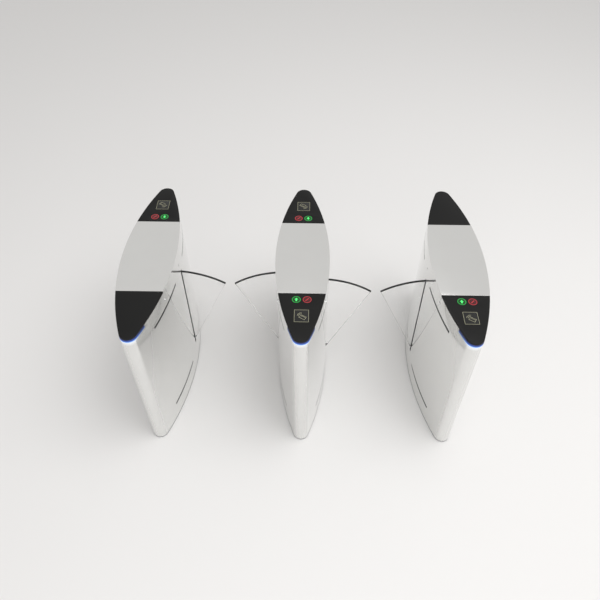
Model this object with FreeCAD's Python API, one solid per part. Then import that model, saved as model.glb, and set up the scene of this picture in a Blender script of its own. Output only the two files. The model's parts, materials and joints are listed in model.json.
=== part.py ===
import FreeCAD, Part
import math
import os

# Two-lane flap turnstile: three lens-shaped cabinets in a row, with clear flaps between them.
# Frame: +X across the lanes, +Y along the walk, +Z up, origin on the floor under the middle cabinet.
# All sizes are in millimetres.

# ---- cabinets ----
CABINET_LENGTH = 1200.0
CABINET_WIDTH = 300.0
CABINET_HEIGHT = 950.0
LANE_WIDTH = 550.0
NOSE_RADIUS = 45.0
SHEET = 2.0
BASE_THICKNESS = 6.0
ANCHOR_SPACING_X = 200.0
ANCHOR_SPACING_Y = 440.0
ANCHOR_HOLE_R = 7.0
CABLE_ENTRY = (80.0, 70.0)

# ---- lid and end caps ----
LID_HALF_LENGTH = 280.0
LID_THICKNESS = 3.0
LID_SKIRT_DEPTH = 15.0
LID_SKIRT_HINGE_GAP = 65.0
LID_SKIRT_FRONT_GAP = 5.0
CAP_DEPTH = 10.0
CAP_TOP = 4.0
CAP_WALL = 2.5
PANEL_JOINT = 1.0
KEEPER_X = 60.0
KEEPER_WIDTH = 16.0
KEEPER_THICKNESS = 4.0
KEEPER_GAP = 2.0

# ---- light band, reader and indicators ----
BAND_HEIGHT = 22.0
BAND_THICKNESS = 4.0
BAND_FROM_TIP = 100.0
INLAY_DEPTH = 1.2
INLAY_GAP = 0.1
INDICATOR_R = 23.0
INDICATOR_X = 28.0
INDICATOR_FROM_JOINT = 44.0
READER_SIZE = (74.0, 81.0)
READER_FROM_JOINT = 155.0
READER_MODULE = (80.0, 90.0, 18.0)

# ---- beam windows and the small sensor in the lane walls ----
WINDOW_HEIGHT = 16.0
WINDOW_DEPTH = 4.0
WINDOW_ABOVE_FLOOR = 113.0
WINDOW_BELOW_TOP = 117.0
WINDOW_NEAR = 112.0
WINDOW_FAR = 434.0
SENSOR_R = 6.0
SENSOR_BELOW_TOP = 82.0
SENSOR_DEPTH = 12.0

# ---- flaps ----
PLANE_OFFSET = 25.0
PANEL_THICKNESS = 8.0
PIVOT_FROM_WALL = 45.0
PIVOT_HEIGHT = 175.0
FLAP_TIP_GAP = 56.0
FLAP_TOP_BELOW_LID = 149.0
EDGE_OFFSET = 38.8
ARC_RADIUS = 525.0
ARC_CENTRE_FROM_WALL = 58.0
FLAP_INNER_FROM_WALL = 15.0
FLAP_FOOT = 30.0
TRIM_COVER = 3.0
TRIM_LEG = 3.0
TRIM_WALL = 1.0

# ---- flap slot ----
SLOT_SIDE_GAP = 1.0
LINER_SIDE = 5.0
SLOT_BELOW_PIVOT = 28.0
SLOT_TOP_GAP = 4.0
LINER_DEPTH = 5.0
LINER_END = 2.5

# ---- flap drive ----
HUB_R = 38.0
HUB_PLATE = 6.0
SHAFT_R = 10.0
RUNNING_GAP = 0.05
PLATE_THICKNESS = 8.0
INNER_PLATE_FROM_PLANE = 20.0
PLATE_SPACE = 27.0
BRACKET_TOP = 300.0
BRACKET_MARGIN = 30.0
BEARING_R = 20.0
BEARING_FLANGE_R = 26.0
BEARING_FLANGE = 2.0
MODULE = 3.0
GEAR_TEETH = 60
PINION_TEETH = 15
ADDENDUM = 0.8
DEDENDUM = 1.1
PRESSURE_ANGLE = math.radians(20.0)
TOOTH_THINNING = 0.12
GEAR_WIDTH = 10.0
GEAR_HUB_R = 25.0
PINION_SHAFT_R = 8.0
SECTOR_BEFORE = 40.0
SECTOR_AFTER = 15.0
PINION_EXTRA_WIDTH = 2.0
PINION_SHAFT_END = 3.0
SHAFT_END = 4.0
STOP_R = 8.0
STOP_RING_R = 60.0
STOP_GAP = 0.3
GEARBOX = (90.0, 50.0)
MOTOR_R = 38.0
MOTOR_LENGTH = 100.0

# ---- inner frame, latch and boxes ----
FRAME_BAR = 25.0
FRAME_TOP_BELOW_LID = 30.0
FRAME_WALL_GAP = 13.0
BEAM_WALL_GAP = 1.0
FRAME_FROM_JOINT = 24.5
LATCH_FROM_JOINT = 3.0
LATCH_BELOW_FRAME = 10.0
LATCH_SHAFT_R = 5.0
LATCH_HEAD_R = 8.0
LATCH_HEAD = 2.0
LATCH_HEAD_GAP = 0.3
LATCH_CAM = (4.0, 30.0, 10.0)
CONTROL_BOX = (110.0, 60.0, 300.0)
POWER_BOX = (110.0, 60.0, 160.0)
BOX_FROM_CENTRE = 360.0

# ---- derived ----
PITCH = LANE_WIDTH + CABINET_WIDTH
HALF_LENGTH = CABINET_LENGTH / 2
HALF_WIDTH = CABINET_WIDTH / 2
NOSE_CENTRE = HALF_LENGTH - NOSE_RADIUS
SIDE_RADIUS = (NOSE_CENTRE ** 2 + HALF_WIDTH ** 2 - NOSE_RADIUS ** 2) / (2 * (HALF_WIDTH - NOSE_RADIUS))
CAP_BOTTOM = CABINET_HEIGHT - CAP_DEPTH
BAND_BOTTOM = CAP_BOTTOM - BAND_HEIGHT
LID_BOTTOM = CABINET_HEIGHT - LID_THICKNESS
BAND_START = HALF_LENGTH - BAND_FROM_TIP
PIVOT_X = HALF_WIDTH - PIVOT_FROM_WALL
FLAP_INNER_X = HALF_WIDTH - FLAP_INNER_FROM_WALL
FLAP_TIP_X = HALF_WIDTH + (LANE_WIDTH - FLAP_TIP_GAP) / 2
ARC_CENTRE_X = HALF_WIDTH - ARC_CENTRE_FROM_WALL
ARC_CENTRE_HEIGHT = CABINET_HEIGHT - FLAP_TOP_BELOW_LID - TRIM_COVER - ARC_RADIUS
FLAP_TIP_HEIGHT = ARC_CENTRE_HEIGHT + math.sqrt(ARC_RADIUS ** 2 - (FLAP_TIP_X - ARC_CENTRE_X) ** 2)
# The flap has swung home when its straight outer edge stands upright inside the wall.
PIVOT_TO_TIP = math.hypot(FLAP_TIP_X - PIVOT_X, FLAP_TIP_HEIGHT - PIVOT_HEIGHT)
TIP_LEAN = math.atan2(FLAP_TIP_X - PIVOT_X, FLAP_TIP_HEIGHT - PIVOT_HEIGHT)
TRAVEL = TIP_LEAN - math.asin(EDGE_OFFSET / PIVOT_TO_TIP)
SLOT_BOTTOM = PIVOT_HEIGHT - SLOT_BELOW_PIVOT
SLOT_OPENING = PANEL_THICKNESS + 2 * (TRIM_WALL + SLOT_SIDE_GAP)
SLOT_WIDTH = SLOT_OPENING + 2 * LINER_SIDE
WINDOW_LEVELS = (WINDOW_ABOVE_FLOOR, CABINET_HEIGHT - WINDOW_BELOW_TOP)
SENSOR_LEVEL = CABINET_HEIGHT - SENSOR_BELOW_TOP
INNER_PLATE_Y = PLANE_OFFSET + INNER_PLATE_FROM_PLANE
OUTER_PLATE_Y = INNER_PLATE_Y + PLATE_THICKNESS + PLATE_SPACE
BRACKET_BACK_Y = OUTER_PLATE_Y + PLATE_THICKNESS
GEAR_R = MODULE * GEAR_TEETH / 2
PINION_R = MODULE * PINION_TEETH / 2
# The pinion sits inwards of the flap shaft and above it, three parts up for every four parts in.
MESH_ANGLE = math.atan2(3, -4)
PINION_X = PIVOT_X + (GEAR_R + PINION_R) * math.cos(MESH_ANGLE)
PINION_Z = PIVOT_HEIGHT + (GEAR_R + PINION_R) * math.sin(MESH_ANGLE)
GEAR_Y = INNER_PLATE_Y + PLATE_THICKNESS + (PLATE_SPACE - GEAR_WIDTH) / 2
FRAME_Y = LID_HALF_LENGTH + FRAME_FROM_JOINT
FRAME_TOP = CABINET_HEIGHT - FRAME_TOP_BELOW_LID
FRAME_BOTTOM_OF_RAIL = FRAME_TOP - FRAME_BAR
LATCH_Y = LID_HALF_LENGTH - LATCH_FROM_JOINT
LATCH_LEVEL = FRAME_BOTTOM_OF_RAIL - LATCH_BELOW_FRAME

# name, place along X, the lane sides it faces, and whether the front and rear caps carry a reader
CABINETS = (
    ("left", -PITCH, (1,), False, True),
    ("centre", 0.0, (-1, 1), True, True),
    ("right", PITCH, (-1,), True, False),
)
# name, cabinet place, side it faces, and which of the two flap planes it moves in
FLAPS = (
    ("left_lane_left", -PITCH, 1, 1),
    ("left_lane_right", 0.0, -1, 1),
    ("right_lane_left", 0.0, 1, -1),
    ("right_lane_right", PITCH, -1, -1),
)

V = FreeCAD.Vector
ACROSS = V(1, 0, 0)
ALONG = V(0, 1, 0)
UP = V(0, 0, 1)
ORIGIN = V(0, 0, 0)


# ---- small helpers ----
def box(x0, x1, y0, y1, z0, z1):
    return Part.makeBox(x1 - x0, y1 - y0, z1 - z0, V(x0, y0, z0))


def rod(radius, y0, y1, x, z):
    """Cylinder along Y."""
    return Part.makeCylinder(radius, y1 - y0, V(x, y0, z), ALONG)


def cross_rod(radius, x0, x1, y, z):
    """Cylinder along X."""
    return Part.makeCylinder(radius, x1 - x0, V(x0, y, z), ACROSS)


def half_width_at(y, inset=0.0):
    """Half the cabinet's width at a place along its length, less an inset."""
    radius = SIDE_RADIUS - inset
    return math.sqrt(radius ** 2 - y ** 2) - (SIDE_RADIUS - HALF_WIDTH)


def lens(inset, z0, z1):
    """Upright prism of the cabinet's plan: two long side arcs joined by a small arc at each nose."""
    side = SIDE_RADIUS - inset
    nose = NOSE_RADIUS - inset
    reach = SIDE_RADIUS - NOSE_RADIUS
    side_centre = HALF_WIDTH - SIDE_RADIUS
    tangent_x = side_centre + side * -side_centre / reach
    tangent_y = side * NOSE_CENTRE / reach
    half = HALF_WIDTH - inset
    tip = NOSE_CENTRE + nose
    edges = [
        Part.Arc(V(tangent_x, -tangent_y, z0), V(half, 0, z0), V(tangent_x, tangent_y, z0)).toShape(),
        Part.Arc(V(tangent_x, tangent_y, z0), V(0, tip, z0), V(-tangent_x, tangent_y, z0)).toShape(),
        Part.Arc(V(-tangent_x, tangent_y, z0), V(-half, 0, z0), V(-tangent_x, -tangent_y, z0)).toShape(),
        Part.Arc(V(-tangent_x, -tangent_y, z0), V(0, -tip, z0), V(tangent_x, -tangent_y, z0)).toShape(),
    ]
    return Part.Face(Part.Wire(edges)).extrude(V(0, 0, z1 - z0))


def skin(inset, thickness, z0, z1):
    """Wall of the cabinet's plan between two insets."""
    return lens(inset, z0, z1).cut(lens(inset + thickness, z0 - 1, z1 + 1))


def wide_box(y0, y1, z0, z1):
    return box(-CABINET_WIDTH, CABINET_WIDTH, y0, y1, z0, z1)


def side_box(side, y0, y1, z0, z1):
    """Box that covers only the wall on one side of the cabinet."""
    x0, x1 = sorted((0, side * CABINET_WIDTH))
    return box(x0, x1, y0, y1, z0, z1)


def flipped(shape, normal):
    return shape.mirror(ORIGIN, normal)


def half_turn(shape):
    turned = shape.copy()
    turned.rotate(ORIGIN, UP, 180)
    return turned


def moved(shape, x):
    placed = shape.copy()
    placed.translate(V(x, 0, 0))
    return placed


def merged(shapes):
    result = shapes[0]
    for shape in shapes[1:]:
        result = result.fuse(shape)
    return result.removeSplitter()


def save(name, shapes):
    solids = [solid for shape in shapes for solid in shape.Solids]
    bad = [solid for solid in solids if not solid.isValid()]
    if not solids or bad:
        raise ValueError(name + " has a missing or broken solid")
    shape = solids[0] if len(solids) == 1 else Part.makeCompound(solids)
    shape.exportStep("parts/" + name + ".step")


# ---- flap outline, for a flap that faces +X ----
def edge_point(z):
    """Point of the flap's straight outer edge at a height."""
    edge_x = PIVOT_X + EDGE_OFFSET * math.cos(TRAVEL)
    edge_z = PIVOT_HEIGHT - EDGE_OFFSET * math.sin(TRAVEL)
    return edge_x + (z - edge_z) * math.tan(TRAVEL)


def arc_height(x, radius):
    return ARC_CENTRE_HEIGHT + math.sqrt(radius ** 2 - (x - ARC_CENTRE_X) ** 2)


def plate_from(points, y0, y1):
    corners = [V(x, y0, z) for x, z in points]
    return Part.Face(Part.makePolygon(corners + corners[:1])).extrude(V(0, y1 - y0, 0))


def flap_panel():
    y0 = PLANE_OFFSET - PANEL_THICKNESS / 2
    foot_z = PIVOT_HEIGHT - FLAP_FOOT
    middle_x = (FLAP_INNER_X + FLAP_TIP_X) / 2
    inner = V(FLAP_INNER_X, y0, arc_height(FLAP_INNER_X, ARC_RADIUS))
    middle = V(middle_x, y0, arc_height(middle_x, ARC_RADIUS))
    tip = V(FLAP_TIP_X, y0, FLAP_TIP_HEIGHT)
    outer_foot = V(edge_point(foot_z), y0, foot_z)
    inner_foot = V(PIVOT_X - FLAP_FOOT, y0, foot_z)
    edges = [
        Part.Arc(inner, middle, tip).toShape(),
        Part.LineSegment(tip, outer_foot).toShape(),
        Part.LineSegment(outer_foot, inner_foot).toShape(),
        Part.LineSegment(inner_foot, inner).toShape(),
    ]
    panel = Part.Face(Part.Wire(edges)).extrude(V(0, PANEL_THICKNESS, 0))
    return panel.cut(rod(SHAFT_R + RUNNING_GAP, 0, 2 * PLANE_OFFSET, PIVOT_X, PIVOT_HEIGHT))


def flap_trim():
    """Rubber edging of U section along the top arc."""
    half = PANEL_THICKNESS / 2 + TRIM_WALL
    top_r = ARC_RADIUS + TRIM_COVER
    leg_r = ARC_RADIUS - TRIM_LEG
    outer = rod(top_r, PLANE_OFFSET - half, PLANE_OFFSET + half, ARC_CENTRE_X, ARC_CENTRE_HEIGHT)
    under = rod(leg_r, 0, 2 * PLANE_OFFSET, ARC_CENTRE_X, ARC_CENTRE_HEIGHT)
    y0 = PLANE_OFFSET - PANEL_THICKNESS / 2
    channel = rod(ARC_RADIUS, y0, y0 + PANEL_THICKNESS, ARC_CENTRE_X, ARC_CENTRE_HEIGHT)
    high = ARC_CENTRE_HEIGHT + 2 * ARC_RADIUS
    low = ARC_CENTRE_HEIGHT + ARC_RADIUS / 2
    reach = [(FLAP_INNER_X, low), (edge_point(low), low), (edge_point(high), high), (FLAP_INNER_X, high)]
    return outer.cut(under).cut(channel).common(plate_from(reach, 0, 2 * PLANE_OFFSET))


# ---- flap drive, for a flap that faces +X and moves in the +Y plane ----
def tooth_half_angle(teeth, radius):
    pitch_r = MODULE * teeth / 2
    base_r = pitch_r * math.cos(PRESSURE_ANGLE)
    angle = math.acos(min(1.0, base_r / max(radius, base_r)))
    rise = math.tan(PRESSURE_ANGLE) - PRESSURE_ANGLE
    return math.pi / (2 * teeth) - TOOTH_THINNING / pitch_r + rise - (math.tan(angle) - angle)


def tooth_points(teeth, centre_angle):
    """One involute tooth, from root to tip to root, in polar steps about the gear's centre."""
    pitch_r = MODULE * teeth / 2
    root_r = pitch_r - DEDENDUM * MODULE
    tip_r = pitch_r + ADDENDUM * MODULE
    start_r = max(root_r, pitch_r * math.cos(PRESSURE_ANGLE))
    radii = [root_r] + [start_r + (tip_r - start_r) * i / 4 for i in range(5)]
    rising = [(r, centre_angle - tooth_half_angle(teeth, r)) for r in radii]
    falling = [(r, centre_angle + tooth_half_angle(teeth, r)) for r in reversed(radii)]
    return rising + falling


def polar_plate(points, x, z, y0, y1):
    return plate_from([(x + r * math.cos(a), z + r * math.sin(a)) for r, a in points], y0, y1)


def sector_gear():
    step = 2 * math.pi / GEAR_TEETH
    before = round(math.radians(SECTOR_BEFORE) / step)
    after = round(math.radians(SECTOR_AFTER) / step)
    root_r = GEAR_R - DEDENDUM * MODULE
    points = [(0.0, 0.0), (root_r, MESH_ANGLE - (before + 0.5) * step)]
    for index in range(-before, after + 1):
        points += tooth_points(GEAR_TEETH, MESH_ANGLE + index * step)
    points.append((root_r, MESH_ANGLE + (after + 0.5) * step))
    y1 = GEAR_Y + GEAR_WIDTH
    gear = polar_plate(points, PIVOT_X, PIVOT_HEIGHT, GEAR_Y, y1)
    gear = gear.fuse(rod(GEAR_HUB_R, GEAR_Y, y1, PIVOT_X, PIVOT_HEIGHT))
    return gear.cut(rod(SHAFT_R + RUNNING_GAP, GEAR_Y - 1, y1 + 1, PIVOT_X, PIVOT_HEIGHT)).removeSplitter()


def pinion():
    step = 2 * math.pi / PINION_TEETH
    points = []
    for index in range(PINION_TEETH):
        points += tooth_points(PINION_TEETH, MESH_ANGLE + math.pi + (index + 0.5) * step)
    y0 = GEAR_Y - PINION_EXTRA_WIDTH
    y1 = GEAR_Y + GEAR_WIDTH + PINION_EXTRA_WIDTH
    teeth = polar_plate(points, PINION_X, PINION_Z, y0, y1)
    y0 = GEAR_Y - PINION_SHAFT_END
    shaft = rod(PINION_SHAFT_R, y0, BRACKET_BACK_Y + PLATE_THICKNESS, PINION_X, PINION_Z)
    return merged([teeth, shaft])


def flap_hub():
    """Clamp plates on both faces of the panel, on one shaft that runs back through the bearings."""
    near = PLANE_OFFSET - PANEL_THICKNESS / 2
    far = PLANE_OFFSET + PANEL_THICKNESS / 2
    front = rod(HUB_R, near - HUB_PLATE, near, PIVOT_X, PIVOT_HEIGHT)
    back = rod(HUB_R, far, far + HUB_PLATE, PIVOT_X, PIVOT_HEIGHT)
    shaft = rod(SHAFT_R, near - HUB_PLATE, BRACKET_BACK_Y + SHAFT_END, PIVOT_X, PIVOT_HEIGHT)
    return merged([front, back, shaft])


def drive_bracket():
    """U-shaped steel bracket that holds the shaft bearings, the stops and the gear motor."""
    x0 = PINION_X - GEARBOX[0] / 2
    x1 = PIVOT_X + BRACKET_MARGIN
    foot = box(x0, x1, INNER_PLATE_Y, BRACKET_BACK_Y, BASE_THICKNESS, BASE_THICKNESS + PLATE_THICKNESS)
    inner = box(x0, x1, INNER_PLATE_Y, INNER_PLATE_Y + PLATE_THICKNESS, BASE_THICKNESS, BRACKET_TOP)
    outer = box(x0, x1, OUTER_PLATE_Y, BRACKET_BACK_Y, BASE_THICKNESS, BRACKET_TOP)
    bracket = merged([foot, inner, outer])
    bracket = bracket.cut(rod(BEARING_R, 0, 2 * BRACKET_BACK_Y, PIVOT_X, PIVOT_HEIGHT))
    pilot = PINION_R + (ADDENDUM + 1) * MODULE
    return bracket.cut(rod(pilot, OUTER_PLATE_Y - 1, BRACKET_BACK_Y + 1, PINION_X, PINION_Z))


def bearings():
    rings = []
    for y0, flange in ((INNER_PLATE_Y, INNER_PLATE_Y - BEARING_FLANGE), (OUTER_PLATE_Y, BRACKET_BACK_Y)):
        ring = rod(BEARING_R - RUNNING_GAP, y0, y0 + PLATE_THICKNESS, PIVOT_X, PIVOT_HEIGHT)
        collar = rod(BEARING_FLANGE_R, flange, flange + BEARING_FLANGE, PIVOT_X, PIVOT_HEIGHT)
        bore = rod(SHAFT_R + RUNNING_GAP, 0, 2 * BRACKET_BACK_Y, PIVOT_X, PIVOT_HEIGHT)
        rings.append(merged([ring, collar]).cut(bore))
    return rings


def stop_buffers():
    """Rubber rods between the bracket's plates, one under each straight edge of the sector gear."""
    step = 2 * math.pi / GEAR_TEETH
    low_edge = MESH_ANGLE - (round(math.radians(SECTOR_BEFORE) / step) + 0.5) * step
    high_edge = MESH_ANGLE + (round(math.radians(SECTOR_AFTER) / step) + 0.5) * step + TRAVEL
    aside = math.asin((STOP_R + STOP_GAP) / STOP_RING_R)
    rods = []
    for angle in (low_edge - aside, high_edge + aside):
        x = PIVOT_X + STOP_RING_R * math.cos(angle)
        z = PIVOT_HEIGHT + STOP_RING_R * math.sin(angle)
        rods.append(rod(STOP_R, INNER_PLATE_Y + PLATE_THICKNESS, OUTER_PLATE_Y, x, z))
    return rods


def gear_motor():
    half, depth = GEARBOX[0] / 2, GEARBOX[1]
    front = BRACKET_BACK_Y
    back = front + depth
    gearbox = box(PINION_X - half, PINION_X + half, front, back, PINION_Z - half, PINION_Z + half)
    motor = rod(MOTOR_R, back, back + MOTOR_LENGTH, PINION_X, PINION_Z)
    bore = rod(PINION_SHAFT_R + RUNNING_GAP, front - 1, front + PLATE_THICKNESS + 1, PINION_X, PINION_Z)
    return merged([gearbox, motor]).cut(bore)


def placed_flap_part(shape, cabinet_x, facing, plane):
    """Turn a part made for the +X, +Y flap into the one for another side and plane."""
    if facing < 0:
        shape = flipped(shape, ACROSS)
    if plane < 0:
        shape = flipped(shape, ALONG)
    return moved(shape, cabinet_x)


# ---- cabinet pieces, each in a cabinet's own place ----
def slot_plane(cabinet_x, side):
    for _, flap_x, facing, plane in FLAPS:
        if flap_x == cabinet_x and facing == side:
            return plane * PLANE_OFFSET
    raise ValueError("no flap on that side")


def slot_top():
    return arc_height(FLAP_INNER_X, ARC_RADIUS + TRIM_COVER) + SLOT_TOP_GAP


def window_spans():
    for level in WINDOW_LEVELS:
        for y0, y1 in ((-WINDOW_FAR, -WINDOW_NEAR), (WINDOW_NEAR, WINDOW_FAR)):
            yield y0, y1, level - WINDOW_HEIGHT / 2, level + WINDOW_HEIGHT / 2


def sensor(side, radius):
    """Small round sensor let into the wall above the slot."""
    low, high = sorted((side * HALF_WIDTH, side * (HALF_WIDTH - SENSOR_DEPTH)))
    return cross_rod(radius, low, high, 0, SENSOR_LEVEL)


def shell(cabinet_x, sides):
    body = skin(0, SHEET, BASE_THICKNESS, LID_BOTTOM)
    for sign in (-1, 1):
        joint = sorted((sign * LID_HALF_LENGTH, sign * CABINET_LENGTH))
        band = sorted((sign * BAND_START, sign * CABINET_LENGTH))
        body = body.cut(wide_box(joint[0], joint[1], CAP_BOTTOM, CABINET_HEIGHT))
        body = body.cut(wide_box(band[0], band[1], BAND_BOTTOM, CABINET_HEIGHT))
    for side in sides:
        plane = slot_plane(cabinet_x, side)
        half = SLOT_WIDTH / 2
        openings = [(plane - half, plane + half, SLOT_BOTTOM, slot_top())] + list(window_spans())
        for y0, y1, z0, z1 in openings:
            body = body.cut(side_box(side, y0 - INLAY_GAP, y1 + INLAY_GAP, z0 - INLAY_GAP, z1 + INLAY_GAP))
        body = body.cut(sensor(side, SENSOR_R + INLAY_GAP))
    bore = LATCH_SHAFT_R + RUNNING_GAP
    return body.cut(cross_rod(bore, -CABINET_WIDTH, CABINET_WIDTH, -LATCH_Y, LATCH_LEVEL))


def base_plate():
    plate = lens(0, 0, BASE_THICKNESS)
    half_x, half_y = CABLE_ENTRY[0] / 2, CABLE_ENTRY[1] / 2
    plate = plate.cut(box(-half_x, half_x, -half_y, half_y, -1, BASE_THICKNESS + 1))
    for x in (-ANCHOR_SPACING_X / 2, ANCHOR_SPACING_X / 2):
        for y in (-ANCHOR_SPACING_Y / 2, ANCHOR_SPACING_Y / 2):
            hole = Part.makeCylinder(ANCHOR_HOLE_R, BASE_THICKNESS + 2, V(x, y, -1))
            plate = plate.cut(hole)
    return plate


def inner_frame():
    half = FRAME_BAR / 2
    beam_reach = half_width_at(FRAME_Y + half, SHEET) - BEAM_WALL_GAP
    post_x = half_width_at(FRAME_Y + half, SHEET) - FRAME_WALL_GAP - half
    bars = []
    for sign in (-1, 1):
        y = sign * FRAME_Y
        for x in (-post_x, post_x):
            bars.append(box(x - half, x + half, y - half, y + half, BASE_THICKNESS, FRAME_TOP))
        bars.append(box(-beam_reach, beam_reach, y - half, y + half, FRAME_BOTTOM_OF_RAIL, FRAME_TOP))
    for x in (-post_x, post_x):
        bars.append(box(x - half, x + half, -FRAME_Y, FRAME_Y, FRAME_BOTTOM_OF_RAIL, FRAME_TOP))
    return merged(bars)


def end_cap(has_reader):
    """Black cap over the front end; the rear one is the same piece turned round."""
    joint = -(LID_HALF_LENGTH + PANEL_JOINT / 2)
    cap = lens(0, CAP_BOTTOM, CABINET_HEIGHT).common(wide_box(-CABINET_LENGTH, joint, 0, CABINET_HEIGHT + 1))
    hollow = lens(CAP_WALL, CAP_BOTTOM - 1, CABINET_HEIGHT - CAP_TOP)
    cap = cap.cut(hollow.common(wide_box(-CABINET_LENGTH, joint - CAP_WALL, 0, CABINET_HEIGHT)))
    if has_reader:
        for x in (-INDICATOR_X, INDICATOR_X):
            cap = cap.cut(indicator(x, INLAY_GAP))
        cap = cap.cut(reader_window(INLAY_GAP))
    return cap


def indicator(x, gap=0.0):
    floor = CABINET_HEIGHT - INLAY_DEPTH
    y = -(LID_HALF_LENGTH + INDICATOR_FROM_JOINT)
    return Part.makeCylinder(INDICATOR_R + gap, INLAY_DEPTH, V(x, y, floor))


def reader_window(gap=0.0):
    y = -(LID_HALF_LENGTH + READER_FROM_JOINT)
    half_x, half_y = READER_SIZE[0] / 2 + gap, READER_SIZE[1] / 2 + gap
    return box(-half_x, half_x, y - half_y, y + half_y, CABINET_HEIGHT - INLAY_DEPTH, CABINET_HEIGHT)


def reader_module():
    y = -(LID_HALF_LENGTH + READER_FROM_JOINT)
    size_x, size_y, size_z = READER_MODULE
    top = CABINET_HEIGHT - CAP_TOP
    return box(-size_x / 2, size_x / 2, y - size_y / 2, y + size_y / 2, top - size_z, top)


def lid():
    end = LID_HALF_LENGTH - PANEL_JOINT / 2
    plate = lens(0, LID_BOTTOM, CABINET_HEIGHT).common(wide_box(-end, end, 0, CABINET_HEIGHT + 1))
    skirts = skin(2 * SHEET, SHEET, LID_BOTTOM - LID_SKIRT_DEPTH, LID_BOTTOM)
    skirts = skirts.common(wide_box(LID_SKIRT_FRONT_GAP - end, end - LID_SKIRT_HINGE_GAP, 0, CABINET_HEIGHT))
    pieces = [plate] + skirts.Solids
    cam_length, cam_height = LATCH_CAM[1], LATCH_CAM[2]
    foot_top = LATCH_LEVEL - cam_height / 2 - KEEPER_GAP
    foot_bottom = foot_top - KEEPER_THICKNESS
    leg = -LATCH_Y + cam_length
    back = leg + KEEPER_THICKNESS
    for x in (-KEEPER_X, KEEPER_X):
        x0, x1 = x - KEEPER_WIDTH / 2, x + KEEPER_WIDTH / 2
        pieces.append(box(x0, x1, leg, back, foot_bottom, LID_BOTTOM))
        pieces.append(box(x0, x1, leg - cam_length / 2, back, foot_bottom, foot_top))
    return merged(pieces)


def lid_latch():
    """Cross shaft with a key head outside each wall and two cams that hold the lid's keepers."""
    seat = half_width_at(LATCH_Y - LATCH_HEAD_R) + LATCH_HEAD_GAP
    shaft = cross_rod(LATCH_SHAFT_R, -seat, seat, -LATCH_Y, LATCH_LEVEL)
    pieces = [shaft]
    for side in (-1, 1):
        near, far = sorted((side * seat, side * (seat + LATCH_HEAD)))
        pieces.append(cross_rod(LATCH_HEAD_R, near, far, -LATCH_Y, LATCH_LEVEL))
        thick, length, height = LATCH_CAM
        x = side * KEEPER_X
        pieces.append(box(x - thick / 2, x + thick / 2, -LATCH_Y, -LATCH_Y + length - KEEPER_GAP / 2,
                          LATCH_LEVEL - height / 2, LATCH_LEVEL + height / 2))
    return merged(pieces)


def light_bands():
    ring = skin(0, BAND_THICKNESS, BAND_BOTTOM, CAP_BOTTOM)
    front = ring.common(wide_box(-CABINET_LENGTH, -BAND_START, 0, CABINET_HEIGHT))
    return [front, half_turn(front)]


def beam_windows(sides):
    pieces = []
    for side in sides:
        for y0, y1, z0, z1 in window_spans():
            ring = skin(0, WINDOW_DEPTH, z0, z1)
            pieces.append(ring.common(side_box(side, y0, y1, z0, z1)))
        pieces.append(sensor(side, SENSOR_R))
    return pieces


def slot_liners(cabinet_x, sides):
    pieces = []
    for side in sides:
        plane = slot_plane(cabinet_x, side)
        half = SLOT_WIDTH / 2
        ring = skin(0, LINER_DEPTH, SLOT_BOTTOM, slot_top())
        block = ring.common(side_box(side, plane - half, plane + half, SLOT_BOTTOM, slot_top()))
        gap = SLOT_OPENING / 2
        opening = side_box(side, plane - gap, plane + gap, SLOT_BOTTOM + LINER_END, slot_top() - LINER_END)
        pieces.append(block.cut(opening))
    return pieces


def standing_box(size, y):
    return box(-size[0] / 2, size[0] / 2, y - size[1] / 2, y + size[1] / 2, BASE_THICKNESS,
               BASE_THICKNESS + size[2])


# ---- build ----
def build_cabinets():
    for name, x, sides, _, _ in CABINETS:
        save(name + "_shell", [moved(shell(x, sides), x)])
        save(name + "_base_plate", [moved(base_plate(), x)])
        save(name + "_inner_frame", [moved(inner_frame(), x)])
        save(name + "_lid", [moved(lid(), x)])
        save(name + "_lid_latch", [moved(lid_latch(), x)])
        save(name + "_light_bands", [moved(piece, x) for piece in light_bands()])
        save(name + "_beam_windows", [moved(piece, x) for piece in beam_windows(sides)])
        save(name + "_slot_liners", [moved(piece, x) for piece in slot_liners(x, sides)])
    save("control_boxes", [moved(standing_box(CONTROL_BOX, BOX_FROM_CENTRE), row[1]) for row in CABINETS])
    save("power_supplies", [moved(standing_box(POWER_BOX, -BOX_FROM_CENTRE), row[1]) for row in CABINETS])


def build_caps():
    green, red, windows, modules = [], [], [], []
    for name, x, _, front_reader, rear_reader in CABINETS:
        save(name + "_front_cap", [moved(end_cap(front_reader), x)])
        save(name + "_rear_cap", [moved(half_turn(end_cap(rear_reader)), x)])
        turns = []
        if front_reader:
            turns.append(lambda shape: shape)
        if rear_reader:
            turns.append(half_turn)
        for turn in turns:
            green.append(moved(turn(indicator(-INDICATOR_X)), x))
            red.append(moved(turn(indicator(INDICATOR_X)), x))
            windows.append(moved(turn(reader_window()), x))
            modules.append(moved(turn(reader_module()), x))
    save("green_indicators", green)
    save("red_indicators", red)
    save("reader_windows", windows)
    save("card_readers", modules)


def build_flaps():
    own = {"panel": flap_panel(), "edge_trim": flap_trim(), "hub": flap_hub(),
           "sector_gear": sector_gear(), "drive_pinion": pinion()}
    shared = {"drive_brackets": [drive_bracket()], "flap_bearings": bearings(),
              "stop_buffers": stop_buffers(), "gear_motors": [gear_motor()]}
    for name, x, facing, plane in FLAPS:
        for part, shape in own.items():
            save(name + "_" + part, [placed_flap_part(shape, x, facing, plane)])
    for part, shapes in shared.items():
        save(part, [placed_flap_part(shape, row[1], row[2], row[3]) for row in FLAPS for shape in shapes])


os.makedirs("parts", exist_ok=True)
build_cabinets()
build_caps()
build_flaps()
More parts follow.
